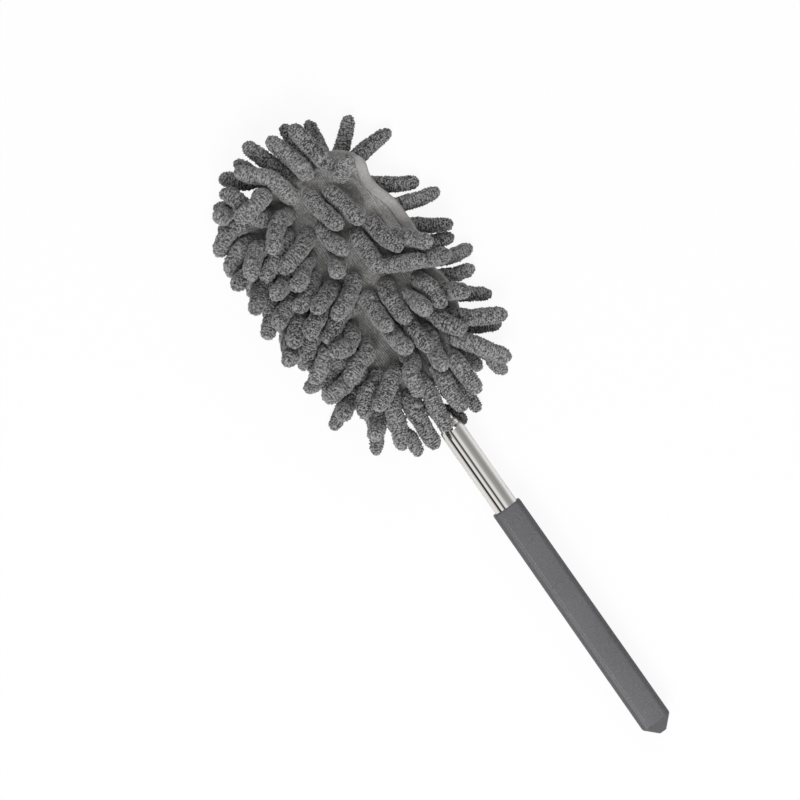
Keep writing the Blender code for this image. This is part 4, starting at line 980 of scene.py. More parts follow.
def tone_fingers(piece, seed):
    """Gives each finger a tone of its own, as an attribute that its material reads."""
    data = piece.data
    shell = bmesh.new()
    shell.from_mesh(data)
    shell.verts.ensure_lookup_table()
    tones = np.zeros(len(shell.verts))
    chance = np.random.default_rng(seed)
    seen = set()
    for start in shell.verts:
        if start.index in seen:
            continue
        tone = chance.uniform(0.0, 1.0)
        island = [start]
        seen.add(start.index)
        for member in island:
            tones[member.index] = tone
            for edge in member.link_edges:
                other = edge.other_vert(member)
                if other.index not in seen:
                    seen.add(other.index)
                    island.append(other)
    shell.free()
    stored = data.attributes.new("tone", "FLOAT", "POINT")
    stored.data.foreach_set("value", tones.astype(np.float32))


class DUSTER_OT_fingers(bpy.types.Operator):
    """Builds the chenille fingers of both sides of the sleeve"""
    bl_idname = "duster.fingers"
    bl_label = "Chenille fingers"

    def execute(self, context):
        sizes = context.scene.duster_sleeve
        material = chenille_material(context.scene.duster_colours)
        group = finger_tree()
        fingers = list_fingers()
        lines = settle(fingers)
        sides = np.array([finger[2] for finger in fingers])
        for label, side, node, parts, tuft_seed, tone_seed in FINGER_GROUPS:
            reach = getattr(sizes, f"{label}_reach")
            for order, chosen in enumerate(np.array_split(lines[sides == side], parts)):
                name = f"{label}_fingers_{order + 1}"
                piece = line_object(name, [extended(line, reach) for line in chosen])
                run_tree(piece, group, {
                    "Radius": getattr(sizes, f"{label}_radius"), "Taper": getattr(sizes, f"{label}_taper"),
                    "Root Radius": sizes.root_radius, "Root Length": sizes.root_length,
                    "Ring Spacing": sizes.ring_spacing, "Sides": sizes.finger_sides,
                    "Pile Height": sizes.pile_height, "Tuft Size": sizes.tuft_size,
                    "Row Pitch": sizes.row_pitch, "Seed": tuft_seed + order, "Material": material,
                })
                tone_fingers(piece, tone_seed + order)
                finished(piece, "sleeve", "chenille", node)
        return {"FINISHED"}


# Cloths, tapes and hem

EDGE_WAVE = 3.6 * MM            # how far the right edge is drawn in at a waist
EDGE_WAVE_SPAN = 45.0 * MM      # from waist to waist
LEFT_WAVE_SHARE = 0.25          # of that on the left edge
FOLD_GATHER = 0.62              # share by which the folds close up on the edge at a waist
EDGE_FOLDS = (                  # distance from the edge, height, length and phase of each fold
    (7.5 * MM, 2.6 * MM, 62.0 * MM, 0.4), (11.5 * MM, 1.9 * MM, 47.0 * MM, 2.2),
    (16.0 * MM, 2.6 * MM, 71.0 * MM, 4.1),
)
FOLD_DRIFT = 1.3 * MM           # of a fold to and from the edge
FOLD_WIDTH = 1.4 * MM
FOLD_SWELL = 0.35               # share of a fold's height that comes and goes
FOLD_SWELL_SPAN = 0.6           # in lengths of the fold
LEFT_FOLD_SHARE = 0.3           # of a fold's height on the left edge
CREASE_COUNT = 9                # waves that add up to the cloth's soft creases
CREASE_LEVEL = 5.0              # of their sum that counts as one
CREASE_TURN = 0.9               # radians that a wave turns from the pole's direction at most
CREASE_SPANS = (9.0 * MM, 30.0 * MM)
CREASE_STRETCH = 0.6
CREASE_SEEDS = {1.0: 5, -1.0: 6}        # of the front and of the back
EDGE_ROUND = 1.9 * MM           # over which a cloth curves down to its turned edge
SEAM_GAP = 0.04 * MM            # of each cloth from the middle plane at that edge
PUCKER_TRAIL_SHARE = 1.7        # how much longer the cloth's ramp is behind a root
PUCKER_LEAD = 1.2 * MM          # of a pucker's highest point ahead of the root
CLOTH_ROWS = 190
CLOTH_COLUMNS = 130
ROW_TURN = 1.45                 # radians of the sine that draws a cloth's rows together at its top


def creases(x, y, seed):
    """Smooth random folds between -1 and 1, longer along the pole than across it."""
    chance = np.random.default_rng(seed)
    total = np.zeros(np.broadcast(x, y).shape)
    for _ in range(CREASE_COUNT):
        turn = chance.uniform(-CREASE_TURN, CREASE_TURN)
        span = chance.uniform(*CREASE_SPANS)
        phase = chance.uniform(0.0, math.tau)
        way = y * math.cos(turn) + x * math.sin(turn) * CREASE_STRETCH
        total += np.sin(way * math.tau / span + phase)
    return total / CREASE_LEVEL


def waist(x):
    """Share of the full pull on the sleeve's right edge, in short waists between longer slack."""
    x = np.asarray(x, dtype=float)
    free = np.clip((x - BINDING_START) / SLEEVE_CORNER, 0.0, 1.0)
    free *= np.clip((SLEEVE_TOP - x) / SLEEVE_CORNER, 0.0, 1.0)
    return (0.5 - 0.5 * np.cos((SLEEVE_TOP - x) * math.tau / EDGE_WAVE_SPAN)) ** 2 * free


def edge_line(x, side):
    """The sleeve's outline as it lies: the right edge is drawn in a little here and there."""
    pulled = EDGE_WAVE * waist(x)
    return sleeve_half_width(x) - np.where(np.asarray(side) < 0.0, pulled, LEFT_WAVE_SHARE * pulled)


def edge_folds(x, y, edge):
    """Long soft folds that run beside the sleeve's right edge, past the paddle."""
    folds = np.zeros_like(y)
    gathered = 1.0 - FOLD_GATHER * waist(x)
    for inset, height, span, phase in EDGE_FOLDS:
        drift = FOLD_DRIFT * np.sin(x * math.tau / span + phase)
        ridge = np.exp(-((edge - (inset + drift) * gathered) / FOLD_WIDTH) ** 2)
        swell = FOLD_SWELL * np.sin(x * math.tau / (span * FOLD_SWELL_SPAN) + phase)
        folds += height * ridge * (1.0 - FOLD_SWELL + swell)
    return np.where(y < 0.0, folds, LEFT_FOLD_SHARE * folds)


def cloth_surface(x, y, side, pulls, sizes):
    """Height of a cloth's outer face: over the paddle, drawn up into each finger, with soft folds."""
    base = channel_height(x, y) + CLOTH_THICKNESS
    rise = np.zeros_like(base)
    for root, way in pulls:
        ahead = (x - root[0]) * way[0] + (y - root[1]) * way[1] - PUCKER_LEAD
        beside = (y - root[1]) * way[0] - (x - root[0]) * way[1]
        reach = np.where(ahead < 0.0, sizes.pucker_reach * PUCKER_TRAIL_SHARE, sizes.pucker_reach)
        fall = (ahead / reach) ** 2 + (beside / sizes.pucker_reach) ** 2
        rise = np.maximum(rise, sizes.pucker * np.exp(-fall))
    edge = edge_line(x, y) - np.abs(y)
    inboard = np.clip((edge - BINDING_WIDTH) / BINDING_WIDTH, 0.0, 1.0)
    inboard *= np.clip((SLEEVE_TOP - x) / BINDING_WIDTH, 0.0, 1.0)
    folds = sizes.crease * creases(x, y, CREASE_SEEDS[side])
    return base + (rise + folds + edge_folds(x, y, edge)) * inboard


def turned_edge(x, y):
    """Share of a cloth's height that is left beside its turned edge, where both cloths meet."""
    across = np.abs(y) - (SLEEVE_HALF_WIDTH - SLEEVE_CORNER)
    along = x - (SLEEVE_TOP - SLEEVE_CORNER)
    corner = SLEEVE_CORNER - np.hypot(np.maximum(across, 0.0), np.maximum(along, 0.0))
    gap = np.where(along > 0.0, corner, edge_line(x, y) - np.abs(y))
    share = np.clip(gap / EDGE_ROUND, 0.0, 1.0)
    return np.sqrt(1.0 - (1.0 - share) ** 2)


def finger_pulls(fingers, side):
    """Root of each finger of one side, with the direction in which it draws the cloth."""
    pulls = []
    for root, tip, its_side, _ in fingers:
        if its_side == side:
            way = np.array(tip) - np.array(root)
            pulls.append((root, way / np.linalg.norm(way)))
    return pulls


def cloth_rows():
    """Places along the pole of a cloth's rows of points, from the sleeve's mouth to its top."""
    climb = np.sin(np.linspace(0.0, 1.0, CLOTH_ROWS) * ROW_TURN) / math.sin(ROW_TURN)
    return SLEEVE_MOUTH + (SLEEVE_TOP - SLEEVE_MOUTH) * climb


def cloth_points(side, pulls, sizes):
    """Points of a cloth's outer and inner face, row by row."""
    x = cloth_rows()[:, None] * np.ones((1, CLOTH_COLUMNS))
    spread = np.sin(np.linspace(-1.0, 1.0, CLOTH_COLUMNS)[None, :] * math.pi / 2.0)
    y = edge_line(x, spread) * spread
    outer = cloth_surface(x, y, side, pulls, sizes)
    share = turned_edge(x, y)
    layers = []
    for height in (outer, outer - sizes.cloth_shell):
        height = SEAM_GAP + (height - SEAM_GAP) * share
        layers.append(np.stack((x, y, side * height), axis=-1).reshape(-1, 3))
    return np.concatenate(layers)


def cloth_faces(rows, columns):
    """Quads of a cloth's outer face, its inner face and the rim that joins them."""
    count = rows * columns
    faces = []
    for i in range(rows - 1):
        for j in range(columns - 1):
            a = i * columns + j
            quad = (a, a + 1, a + columns + 1, a + columns)
            if j < columns // 2:
                # Starting one point on turns its diagonal, so no triangle lies in a corner alone.
                quad = quad[1:] + quad[:1]
            faces.append(quad)
            faces.append(tuple(count + quad[k] for k in (0, 3, 2, 1)))
    rim = list(range(columns))
    rim += [i * columns + columns - 1 for i in range(1, rows)]
    rim += [(rows - 1) * columns + j for j in range(columns - 2, -1, -1)]
    rim += [i * columns for i in range(rows - 2, 0, -1)]
    for a, b in zip(rim, rim[1:] + rim[:1]):
        faces.append((a, a + count, b + count, b))
    return faces


class DUSTER_OT_cloths(bpy.types.Operator):
    """Builds the front and back cloth of the sleeve"""
    bl_idname = "duster.cloths"
    bl_label = "Cloths"

    def execute(self, context):
        sizes = context.scene.duster_sleeve
        colours = context.scene.duster_colours
        material = knit_material("sleeve_knit", colours)
        fingers = list_fingers()
        faces = cloth_faces(CLOTH_ROWS, CLOTH_COLUMNS)
        area = 2.0 * float(np.trapz(sleeve_half_width(cloth_rows()), cloth_rows()))
        for name, side, node in (("front_cloth", 1.0, "front_panel"), ("back_cloth", -1.0, "back_panel")):
            points = cloth_points(side, finger_pulls(fingers, side), sizes)
            piece = mesh_object(name, points, faces, material)
            finished(piece, "sleeve", "sleeve_cloth", node)
        return {"FINISHED"}


TAPE_END = 6.0 * MM             # over which a tape thins out at its ends
TAPE_END_SHARE = 0.3            # of a tape's height that is left there
TAPE_END_WIDTH = 0.35           # and of its width
TAPE_END_THICKNESS = 0.12       # and of its thickness
TAPE_CORNER_SHARE = 0.45        # of the sleeve's corner that a tape leaves free
TAPE_STEPS = 170
TAPE_FOLD_SHARE = 0.1           # of a tape's width in which it folds round the edge
TAPE_FOLD_STEPS = 7
TAPE_FOLD_END = math.pi / 16.0
TAPE_SECTION_SHARES = (0.0, 0.1, 0.22, 0.4, 0.62, 0.82)     # of its width, from its inner edge
TAPE_RISE = 2.4                 # how soon the tape reaches its full thickness there
TAPE_SLACK = 0.22 * MM
TAPE_SLACK_SPANS = (11.0 * MM, 37.0 * MM)
SOFTENING = 0.7                 # power that makes a sine's flanks fuller
STITCH_LINE_SHARE = 0.6         # of a tape's width from the sleeve's edge to its stitches
STITCH_END = 2.0 * MM           # from the last stitch to the sleeve's corner
STITCH_PATH_STEPS = 90


def tape_height(x):
    """Height of a side tape's outer face over the middle plane, with the slack of sewn knit."""
    short, long = (np.sin(x * math.tau / span) for span in TAPE_SLACK_SPANS)
    return BINDING_INSIDE + BINDING_THICKNESS + TAPE_SLACK * short * long


def folded_tape(name, side, material):
    """A tape folded round both cloths: a soft U that opens towards the middle of the sleeve."""
    start = BINDING_START
    end = SLEEVE_TOP - SLEEVE_CORNER * TAPE_CORNER_SHARE
    inner = BINDING_INSIDE
    rings = []
    for x in np.linspace(start, end, TAPE_STEPS):
        edge = float(edge_line(x, side))
        ease = smooth_share(min(1.0, (x - start) / TAPE_END, (end - x) / TAPE_END))
        ease = max(TAPE_END_THICKNESS, ease)
        thick = (float(tape_height(x)) - inner) * ease
        width = BINDING_WIDTH * (TAPE_END_WIDTH + (1.0 - TAPE_END_WIDTH) * ease)
        outside = edge + (BINDING_CLEARANCE + BINDING_THICKNESS) * ease
        inside = edge + BINDING_CLEARANCE * 0.5 * ease
        fold = width * TAPE_FOLD_SHARE
        section = []
        for share in TAPE_SECTION_SHARES:
            lift = math.sin(min(1.0, share * TAPE_RISE) * math.pi / 2.0) ** SOFTENING
            section.append((edge - width * (1.0 - share), inner + thick * lift))
        for turn in np.linspace(math.pi / 2.0, TAPE_FOLD_END, TAPE_FOLD_STEPS):
            bulge = (outside - edge + fold) * math.cos(turn)
            section.append((edge - fold + bulge, (inner + thick) * math.sin(turn) ** SOFTENING))
        section.append((outside, 0.0))
        lower = [(y, -z) for y, z in reversed(section[:-1])]
        hollow = [(inside, -inner), (inside, inner)]
        pinch = TAPE_END_SHARE + (1.0 - TAPE_END_SHARE) * ease
        rings.append([(x, side * y, z * pinch) for y, z in section + lower + hollow])
    return mesh_object(name, *lofted(rings), material)


class DUSTER_OT_tapes(bpy.types.Operator):
    """Builds the folded tapes along the sleeve's long edges, with their stitches"""
    bl_idname = "duster.tapes"
    bl_label = "Side tapes and stitches"

    def execute(self, context):
        sizes = context.scene.duster_sleeve
        colours = context.scene.duster_colours
        tape = knit_material("edge_tape", colours)
        thread = knit_material("sewing_thread", colours)
        stitches = stitch_tree()
        stitched = (BINDING_START + TAPE_END, SLEEVE_TOP - SLEEVE_CORNER - STITCH_END)
        x = np.linspace(*stitched, STITCH_PATH_STEPS)
        for label, side in (("left", 1.0), ("right", -1.0)):
            node = f"side_binding_{label}"
            piece = folded_tape(node + "_tape", side, tape)
            finished(piece, "sleeve", "sleeve_cloth", node)
            y = side * (edge_line(x, side) - BINDING_WIDTH * STITCH_LINE_SHARE)
            for face, up in (("front", 1.0), ("back", -1.0)):
                path = np.stack((x, y, up * tape_height(x)), axis=-1)
                row = line_object(f"{label}_{face}_stitches", [path])
                run_tree(row, stitches, {
                    "Pitch": sizes.stitch_pitch, "Stitch Length": sizes.stitch_length,
                    "Thread Radius": sizes.thread_radius, "Material": thread,
                })
                finished(row, "sleeve", "sleeve_cloth")
        return {"FINISHED"}


HEM_END_ROUND = 2.0 * MM        # over which the hem closes at each side of the blade
HEM_GATHER = 2.3 * MM           # from gather to gather
HEM_GATHER_PHASES = (0.7, 2.9)  # above and below
HEM_COLUMNS = 60                # on each of the hem's two sides
HEM_STEPS = (                   # place from the hem's foot, distance from its lining, and gathering
    (MOUTH_TAPE_LENGTH, 0.0, 0.0), (0.3 * MM, 0.0, 0.0), (0.0, 0.3 * MM, 0.0),
    (-0.2 * MM, 0.8 * MM, 0.03 * MM), (0.0, MOUTH_TAPE_THICKNESS, 0.1 * MM),
    (0.6 * MM, MOUTH_TAPE_THICKNESS + 0.25 * MM, 0.18 * MM),
    (1.3 * MM, MOUTH_TAPE_THICKNESS + 0.1 * MM, 0.22 * MM),
    (MOUTH_TAPE_LENGTH - 0.5 * MM, MOUTH_TAPE_THICKNESS + 0.2 * MM, 0.16 * MM),
    (MOUTH_TAPE_LENGTH, MOUTH_TAPE_THICKNESS - 0.1 * MM, 0.1 * MM),
)


def mouth_outline(clear, front, swell):
    """Lens-shaped points of the mouth hem about throat and blade: its rounding and its gathers."""
    neck = MOUTH_RADIUS + clear
    blade = BLADE_THICKNESS / 2.0 + FERRULE_WALL + MOUTH_TAPE_CLEARANCE + clear
    middle = THROAT_HALF_WIDTH + MOUTH_TAPE_CLEARANCE + FERRULE_WALL + clear
    side = CHANNEL_HALF_WIDTH + MOUTH_TAPE_CLEARANCE + clear
    points = []
    for i in range(2 * HEM_COLUMNS):
        turn = math.pi * (i + 0.5) / HEM_COLUMNS
        y = side * math.cos(turn)
        beside = min(1.0, max(0.0, (abs(y) - middle) / THROAT_RAMP))
        height = neck + (blade - neck) * smooth_share(beside)
        shut = min(1.0, max(0.0, (side - abs(y)) / HEM_END_ROUND))
        height *= math.sqrt(shut * (2.0 - shut))
        phase = HEM_GATHER_PHASES[0 if turn < math.pi else 1]
        gather = swell * math.sin(y / HEM_GATHER * math.tau + phase)
        z = math.copysign(height + gather * shut, math.sin(turn))
        points.append((front, y, z))
    return points


class DUSTER_OT_hem(bpy.types.Operator):
    """Builds the gathered hem at the mouth of the sleeve"""
    bl_idname = "duster.hem"
    bl_label = "Mouth hem"

    def execute(self, context):
        material = knit_material("mouth_hem_knit", context.scene.duster_colours)
        foot = SLEEVE_MOUTH - REST_GAP - MOUTH_TAPE_LENGTH
        rings = [mouth_outline(clear, foot + place, swell) for place, clear, swell in HEM_STEPS]
        piece = mesh_object("mouth_hem", *lofted(rings, closed=True), material)
        finished(piece, "sleeve", "sleeve_cloth", "mouth_binding")
        return {"FINISHED"}


# Pole, collars and paddle

ROUND_PIECE_EDGE = math.radians(28.0)   # past which an edge of a round piece looks sharp
GRIP_PIECE_EDGE = math.radians(50.0)
BEAD_SHARES = (0.0, 0.15, 0.35, 0.5, 0.65, 0.85, 1.0)   # of a bead's length, where it has points
LIP_SHARES = (0.0, 0.2, 0.4, 0.6, 0.8, 0.93)            # and of a rolled mouth's
CORNER_SHARE = 0.45             # of a straight run that a softened corner may take at most
CORNER_STEPS = 6
PARTING_WIDTH = 0.4 * MM
PARTING_HEIGHT = 0.09 * MM
PARTING_DEPTH = 0.1 * MM        # that the line's foot is sunk into the grip
PARTING_TOP_SHARE = 0.4         # of the line's width, at its top
PARTING_INSET = 1.6 * MM        # of the line from the cut corner
PARTING_ENDS = (2.0 * MM, 1.5 * MM)     # from the line to the ends of the grip's flat faces
PARTING_STEPS = 60
PARTING_HIGHLIGHT_GAIN = 2.3              # how much lighter the line is than the grip, as a painted highlight along the edge
FERRULE_ROUND_SHARE = 0.5       # of the ferrule's wall, rounded off at its ends
FERRULE_END_SHARES = (0.0, 0.3, 0.7, 1.0)
FERRULE_CRIMP = (               # millimetres from the ferrule's middle, and millimetres deep
    (-0.9, 0.0), (-0.5, 0.16), (0.0, 0.22), (0.5, 0.16), (0.9, 0.0),
)


def turned(name, profile, material, count):
    """A round piece about the pole's axis from a closed profile of places along and radii."""
    rings = [circle(x, radius, count) for x, radius in profile]
    piece = mesh_object(name, *lofted(rings, closed=True), material)
    piece.data.set_sharp_from_angle(angle=ROUND_PIECE_EDGE)
    return piece


def section_bottom(index):
    """Lower end of a section: the outer one in the grip, the others on the plug."""
    if index == 0:
        return TUBE_START
    return TUBE_START + REST_GAP + PLUG_LENGTH + REST_GAP


def section_top(index):
    """Upper end of a section; the last one ends inside the paddle's neck."""
    if index == len(SECTION_RADII) - 1:
        return NECK_START + NECK_BORE_DEPTH - REST_GAP
    return SECTION_1_TOP + sum(SECTION_STEPS[:index])


def section_profile(index, edge):
    """Half section of one drawn tube: foot, bead and a mouth rolled in round the next tube."""
    outer = SECTION_RADII[index]
    inner = outer - TUBE_WALL
    bottom = section_bottom(index)
    top = section_top(index)
    profile = []
    if index > 0:
        flare = SECTION_RADII[index - 1] - TUBE_WALL - FIT_GAP
        bead = bottom + FLARE_LENGTH + REST_GAP + COLLAR_LENGTH + REST_GAP
        profile += [(bottom, flare), (bottom + FLARE_LENGTH, flare), (bottom + FLARE_LENGTH, outer)]
        for share in BEAD_SHARES:
            profile.append((bead + BEAD_LENGTH * share, outer + BEAD_HEIGHT * math.sin(math.pi * share)))
    else:
        profile += [(bottom, outer)]
    if index < len(SECTION_RADII) - 1:
        lip = SECTION_RADII[index + 1] + FIT_GAP
        drop = outer - lip - TUBE_WALL
        start = top - LIP_LENGTH
        for share in LIP_SHARES:
            fall = drop * (1.0 - math.cos(share * math.pi / 2.0)) + edge * share
            profile.append((start + LIP_LENGTH * share, outer - fall))
        profile += [(top, lip + TUBE_WALL - edge), (top, lip + edge), (top - edge, lip), (start, inner)]
    else:
        profile += [(top - edge, outer), (top, outer - edge), (top, inner)]
    return profile + [(bottom, inner)]


class DUSTER_OT_tubes(bpy.types.Operator):
    """Builds the five sliding tubes of the pole"""
    bl_idname = "duster.tubes"
    bl_label = "Pole tubes"

    def execute(self, context):
        sizes = context.scene.duster_pole
        colours = context.scene.duster_colours
        steel = metal_material("polished_tube", colours.steel)
        bodies = ("handle", "section_2", "section_3", "section_4", "head")
        for index, body in enumerate(bodies):
            node = f"section_{index + 1}_tube"
            piece = turned(node + "_polished", section_profile(index, sizes.edge), steel, sizes.sides)
            finished(piece, body, "stainless_steel", node)
        return {"FINISHED"}


def eased_corner(before, corner, after, reach):
    """A short curve in place of a corner between two straight runs, in any number of dimensions."""
    first = (before - corner) * min(reach / np.linalg.norm(before - corner), CORNER_SHARE)
    last = (after - corner) * min(reach / np.linalg.norm(after - corner), CORNER_SHARE)
    return [corner + first * (1.0 - t) ** 2 + last * t ** 2 for t in np.linspace(0.0, 1.0, CORNER_STEPS)]


def smooth_bar(x, width, depth, chamfer, rounding):
    """Points of a bar with cut and softened corners, from its first corner round."""
    w, d, c = width / 2.0, depth / 2.0, chamfer
    corners = np.array([
        (w, -d + c), (w, d - c), (w - c, d), (-w + c, d),
        (-w, d - c), (-w, -d + c), (-w + c, -d), (w - c, -d),
    ])
    points = []
    for i, corner in enumerate(corners):
        points += eased_corner(corners[i - 1], corner, corners[(i + 1) % len(corners)], rounding)
    return [(x, y, z) for y, z in points]


def grip_stations(rounding):
    """Place, width, depth and cut corner of each of the grip's sections, with its ends rounded over."""
    ratio = GRIP_POINT_WIDTH / GRIP_END_WIDTH
    corners = np.array([
        (0.0, GRIP_POINT_WIDTH - rounding, GRIP_POINT_DEPTH - rounding, GRIP_CHAMFER * ratio),
        (0.0, GRIP_POINT_WIDTH, GRIP_POINT_DEPTH, GRIP_CHAMFER * ratio),
        (GRIP_POINT_LENGTH, GRIP_END_WIDTH, GRIP_DEPTH, GRIP_CHAMFER),
        (GRIP_LENGTH, GRIP_POLE_WIDTH, GRIP_DEPTH, GRIP_CHAMFER),
        (GRIP_LENGTH, GRIP_POLE_WIDTH - 2.0 * rounding, GRIP_DEPTH - 2.0 * rounding, GRIP_CHAMFER),
    ])
    stations = [corners[0]]
    for before, corner, after in zip(corners, corners[1:], corners[2:]):
        stations += eased_corner(before, corner, after, rounding)
    return stations + [corners[-1]]


def parting_line(plastic):
    """The faint raised line that the mould leaves along the grip's upper left edge."""
    half = PARTING_WIDTH / 2.0
    low = GRIP_DEPTH / 2.0 - PARTING_DEPTH
    high = GRIP_DEPTH / 2.0 + PARTING_HEIGHT
    ridge = ((-half, low), (-half * PARTING_TOP_SHARE, high), (half * PARTING_TOP_SHARE, high), (half, low))
    first, last = GRIP_POINT_LENGTH + PARTING_ENDS[0], GRIP_LENGTH - PARTING_ENDS[1]
    rings = []
    for x in np.linspace(first, last, PARTING_STEPS):
        share = (x - GRIP_POINT_LENGTH) / (GRIP_LENGTH - GRIP_POINT_LENGTH)
        width = GRIP_END_WIDTH + (GRIP_POLE_WIDTH - GRIP_END_WIDTH) * share
        middle = width / 2.0 - GRIP_CHAMFER - PARTING_INSET
        rings.append([(x, middle + y, z) for y, z in ridge])
    return mesh_object("grip_parting_line", *lofted(rings), plastic)


class DUSTER_OT_grip(bpy.types.Operator):
    """Builds the moulded grip: a bar with cut corners, a blunt point and a bore for the pole"""
    bl_idname = "duster.grip"
    bl_label = "Grip"

    def execute(self, context):
        sizes = context.scene.duster_pole
        colour = context.scene.duster_colours.grip
        plastic = moulded_material("grip_plastic_matt", colour)
        rings = [smooth_bar(*station, sizes.grip_edge) for station in grip_stations(sizes.grip_edge)]
        piece = mesh_object("grip_moulded", *lofted(rings), plastic, smooth=False)
        bore = SECTION_RADII[0] + FIT_GAP
        ends = [circle(x, bore, sizes.sides) for x in (TUBE_START - REST_GAP, GRIP_LENGTH + MM)]
        drill = mesh_object("bore_cutter", *lofted(ends), plastic)
        hole = piece.modifiers.new("bore", "BOOLEAN")
        hole.operation = "DIFFERENCE"
        hole.solver = "EXACT"
        hole.object = drill
        baked(piece)
        bpy.data.objects.remove(drill)
        piece.data.shade_smooth()
        piece.data.set_sharp_from_angle(angle=GRIP_PIECE_EDGE)
        finished(piece, "handle", "grip_plastic", "grip")
        # Painted highlight: the raised parting line is coloured lighter than the grip.
        highlight_colour = tuple(part * PARTING_HIGHLIGHT_GAIN for part in colour)
        highlight_plastic = moulded_material("grip_plastic_painted_highlight", highlight_colour)
        finished(parting_line(highlight_plastic), "handle", "grip_plastic")
        return {"FINISHED"}


def dress(node, material):
    """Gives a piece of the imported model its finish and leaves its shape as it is."""
    for place in bpy.data.objects[node].material_slots:
        place.material = material


def ferrule_profile():
    """Half section of the neck's ferrule: a band with rounded ends, crimped in the middle."""
    inner = NECK_RADIUS + FIT_GAP
    outer = inner + FERRULE_WALL
    start = NECK_START + FERRULE_SETBACK
    end = start + FERRULE_LENGTH
    rounding = FERRULE_WALL * FERRULE_ROUND_SHARE
    shoulder = []
    for share in FERRULE_END_SHARES:
        turn = share * math.pi / 2.0
        shoulder.append((rounding * (1.0 - math.cos(turn)), outer - rounding * (1.0 - math.sin(turn))))
    middle = (start + end) / 2.0
    profile = [(start, inner)] + [(start + x, radius) for x, radius in shoulder]
    profile += [(middle + shift * MM, outer - drop * MM) for shift, drop in FERRULE_CRIMP]
    return profile + [(end - x, radius) for x, radius in reversed(shoulder)] + [(end, inner)]


class DUSTER_OT_fittings(bpy.types.Operator):
    """Gives the collars, the plug, the pin and the ferrule of the pole their finishes"""
    bl_idname = "duster.fittings"
    bl_label = "Collars, plug, ferrule and pin"

    def execute(self, context):
        colours = context.scene.duster_colours
        brass = metal_material("spring_brass_rolled", colours.brass)
        plastic = moulded_material("plug_plastic_matt", colours.grip)
        steel = metal_material("pressed_steel", colours.steel)
        for index in range(2, 6):
            dress(f"section_{index}_collar", brass)
        dress("tube_plug", plastic)
        dress("neck_pin", steel)
        sides = context.scene.duster_pole.sides
        piece = turned("neck_ferrule_crimped", ferrule_profile(), steel, sides)
        finished(piece, "head", "stainless_steel", "neck_ferrule")
        return {"FINISHED"}


class DUSTER_OT_paddle(bpy.types.Operator):
    """Gives the flexible paddle inside the sleeve its moulded plastic"""
    bl_idname = "duster.paddle"
    bl_label = "Paddle"

    def execute(self, context):
        colour = context.scene.duster_colours.paddle
        dress("paddle", moulded_material("paddle_plastic_satin", colour))
        return {"FINISHED"}


# Stage

FLOOR_HALF = 12.0               # from the middle of the floor to its edge
FLOOR_COLOUR = (0.85, 0.85, 0.85, 1.0)
FLOOR_WHITE_SHARE = 0.92        # of the floor that is plain white to the camera, past its shadows
WHITE = (1.0, 1.0, 1.0, 1.0)
VIEW_MIDDLE = (0.0283, 0.0167)  # what the camera looks straight down at
VIEW_WIDTH = 0.3584
VIEW_TURN = math.radians(-125.0)
CAMERA_HEIGHT = 1.5
SENSOR_WIDTH = 36.0             # in millimetres, as is the lens
WORLD_LEVEL = 0.33              # of the world on matt surfaces
METAL_BANDS = (                 # degrees round the pole from overhead, and how bright it is there
    (-90, 0.6), (-60, 0.34), (-28, 0.44), (-14, 0.8), (-3, 1.0), (8, 0.85), (14, 0.08), (22, 0.06),
    (29, 0.5), (37, 1.0), (52, 1.0), (60, 0.02), (73, 0.02), (82, 0.7), (90, 0.85),
)
LAMPS = (                       # place from what the camera looks at, size, and power in watts
    ("window_lamp", (-0.9, 0.7, 1.5), (0.9, 0.9), 30.0),
    ("fill_lamp", (1.0, -0.6, 1.4), (1.4, 1.4), 9.0),
)


def make_floor():
    """A plain white floor, which stays white to the camera and keeps the duster's shadow."""
    data = bpy.data.meshes.new("floor")
    corners = [(x * FLOOR_HALF, y * FLOOR_HALF, 0.0) for x, y in ((-1, -1), (1, -1), (1, 1), (-1, 1))]
    data.from_pydata(corners, [], [(0, 1, 2, 3)])
    material, maker, shader = new_material("white_floor")
    maker.feed(shader, {"Base Color": FLOOR_COLOUR, "Roughness": 0.9})
    white = maker.out("ShaderNodeEmission", None, {"Color": WHITE, "Strength": 1.0})
    seen = maker.number("ShaderNodeLightPath", output="Is Camera Ray") * FLOOR_WHITE_SHARE
    mixed = maker.out("ShaderNodeMixShader", None, {0: seen, 1: shader.outputs[0], 2: white})
    maker.feed(material.node_tree.nodes["Material Output"], {"Surface": mixed})
    data.materials.append(material)
    add_object("floor", data)


def make_world(scene):
    """A plain pale world, white to the camera, with dark bands along the pole for polished metal."""
    world = bpy.data.worlds.new("studio")
    world.use_nodes = True
    maker = Maker(world.node_tree)
    way = maker.out("ShaderNodeTexCoord", output="Generated")
    over, aside = (
        maker.number("ShaderNodeVectorMath", {"operation": "DOT_PRODUCT"}, {0: way, 1: axis}, 1)
        for axis in (UPRIGHT, ACROSS))
    turn = maker.number("ShaderNodeMath", {"operation": "ARCTAN2"}, {0: aside, 1: over})
    stops = [((degrees + 90.0) / 180.0, (level, level, level)) for degrees, level in METAL_BANDS]
    bands = maker.number("ShaderNodeValToRGB", {"stops": stops}, {0: turn / math.pi + 0.5})
    seen = maker.node("ShaderNodeLightPath")
    camera = Number(maker, seen.outputs["Is Camera Ray"])
    glossy = Number(maker, seen.outputs["Is Glossy Ray"])
    matt = (1.0 - camera - glossy).at_least(0.0)
    strength = camera + glossy * bands + matt * WORLD_LEVEL
    maker.feed(world.node_tree.nodes["Background"], {"Color": WHITE, "Strength": strength})
    scene.world = world
    scene.view_settings.view_transform = "Standard"


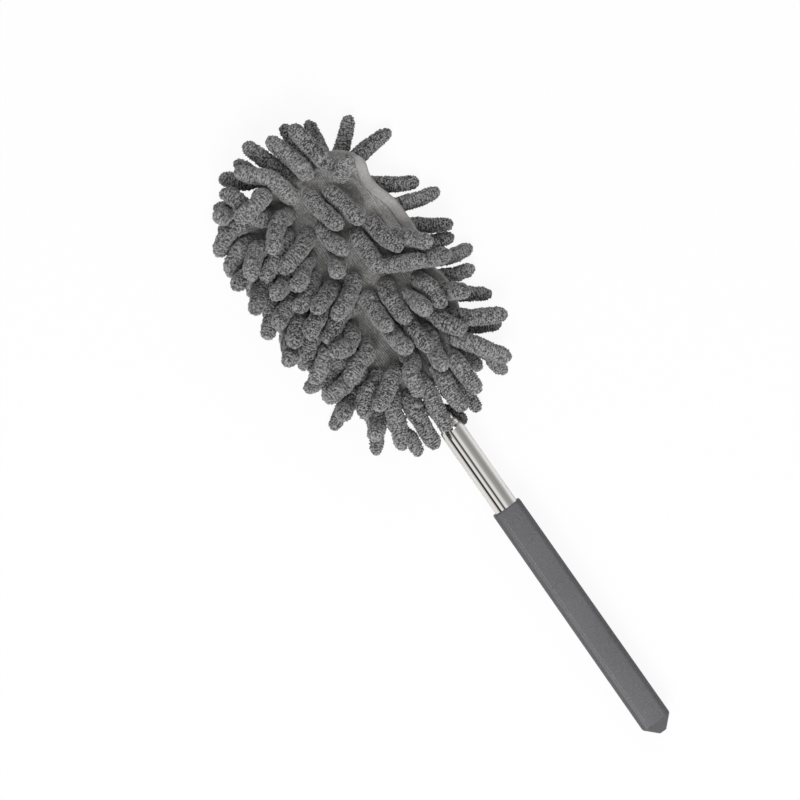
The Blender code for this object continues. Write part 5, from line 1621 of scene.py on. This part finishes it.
class DUSTER_OT_stage(bpy.types.Operator):
    """Sets the white floor, the world, the camera and the lamps"""
    bl_idname = "duster.stage"
    bl_label = "Stage"

    def execute(self, context):
        make_floor()
        make_world(context.scene)
        low, high = CAD_BOX
        aim = Vector((*VIEW_MIDDLE, (low[2] + high[2]) / 2.0))
        view = bpy.data.cameras.new("camera")
        view.sensor_width = SENSOR_WIDTH
        view.lens = SENSOR_WIDTH * CAMERA_HEIGHT / VIEW_WIDTH
        camera = add_object("camera", view)
        camera.location = aim + Vector((0.0, 0.0, CAMERA_HEIGHT))
        camera.rotation_euler = (0.0, 0.0, VIEW_TURN)
        context.scene.camera = camera
        for name, place, size, power in LAMPS:
            light = bpy.data.lights.new(name, "AREA")
            light.shape = "RECTANGLE"
            light.size, light.size_y = size
            light.energy = power
            lamp = add_object(name, light)
            lamp.location = aim + Vector(place)
            lamp.rotation_euler = (-Vector(place)).to_track_quat("-Z", "Y").to_euler()
        return {"FINISHED"}


# Sidebar and run

PIECES = (
    DUSTER_OT_fingers, DUSTER_OT_cloths, DUSTER_OT_tapes, DUSTER_OT_hem,
    DUSTER_OT_tubes, DUSTER_OT_fittings, DUSTER_OT_paddle, DUSTER_OT_grip, DUSTER_OT_stage,
)


class DUSTER_PT_sidebar(bpy.types.Panel):
    """Lists the duster's sizes, colours and pieces"""
    bl_idname = "DUSTER_PT_sidebar"
    bl_label = "Car duster"
    bl_space_type = "VIEW_3D"
    bl_region_type = "UI"
    bl_category = "Duster"

    def draw(self, context):
        layout = self.layout
        scene = context.scene
        for group in (scene.duster_sleeve, scene.duster_pole, scene.duster_colours):
            box = layout.box()
            for name in group.bl_rna.properties.keys():
                if name not in ("rna_type", "name"):
                    box.prop(group, name)
        for piece in PIECES:
            layout.operator(piece.bl_idname)


GROUPS = (DusterSleeveSizes, DusterPoleSizes, DusterColours)


def register():
    """Adds the duster's properties, operators and panel."""
    for kind in (*GROUPS, *PIECES, DUSTER_PT_sidebar):
        bpy.utils.register_class(kind)
    bpy.types.Scene.duster_sleeve = PointerProperty(type=DusterSleeveSizes)
    bpy.types.Scene.duster_pole = PointerProperty(type=DusterPoleSizes)
    bpy.types.Scene.duster_colours = PointerProperty(type=DusterColours)


def unregister():
    """Takes them away again."""
    del bpy.types.Scene.duster_colours
    del bpy.types.Scene.duster_pole
    del bpy.types.Scene.duster_sleeve
    for kind in (DUSTER_PT_sidebar, *reversed(PIECES), *reversed(GROUPS)):
        bpy.utils.unregister_class(kind)


def main():
    """Builds every piece by its operator."""
    register()
    for piece in PIECES:
        _, name = piece.bl_idname.split(".")
        getattr(bpy.ops.duster, name)()


if __name__ == "__main__":
    main()
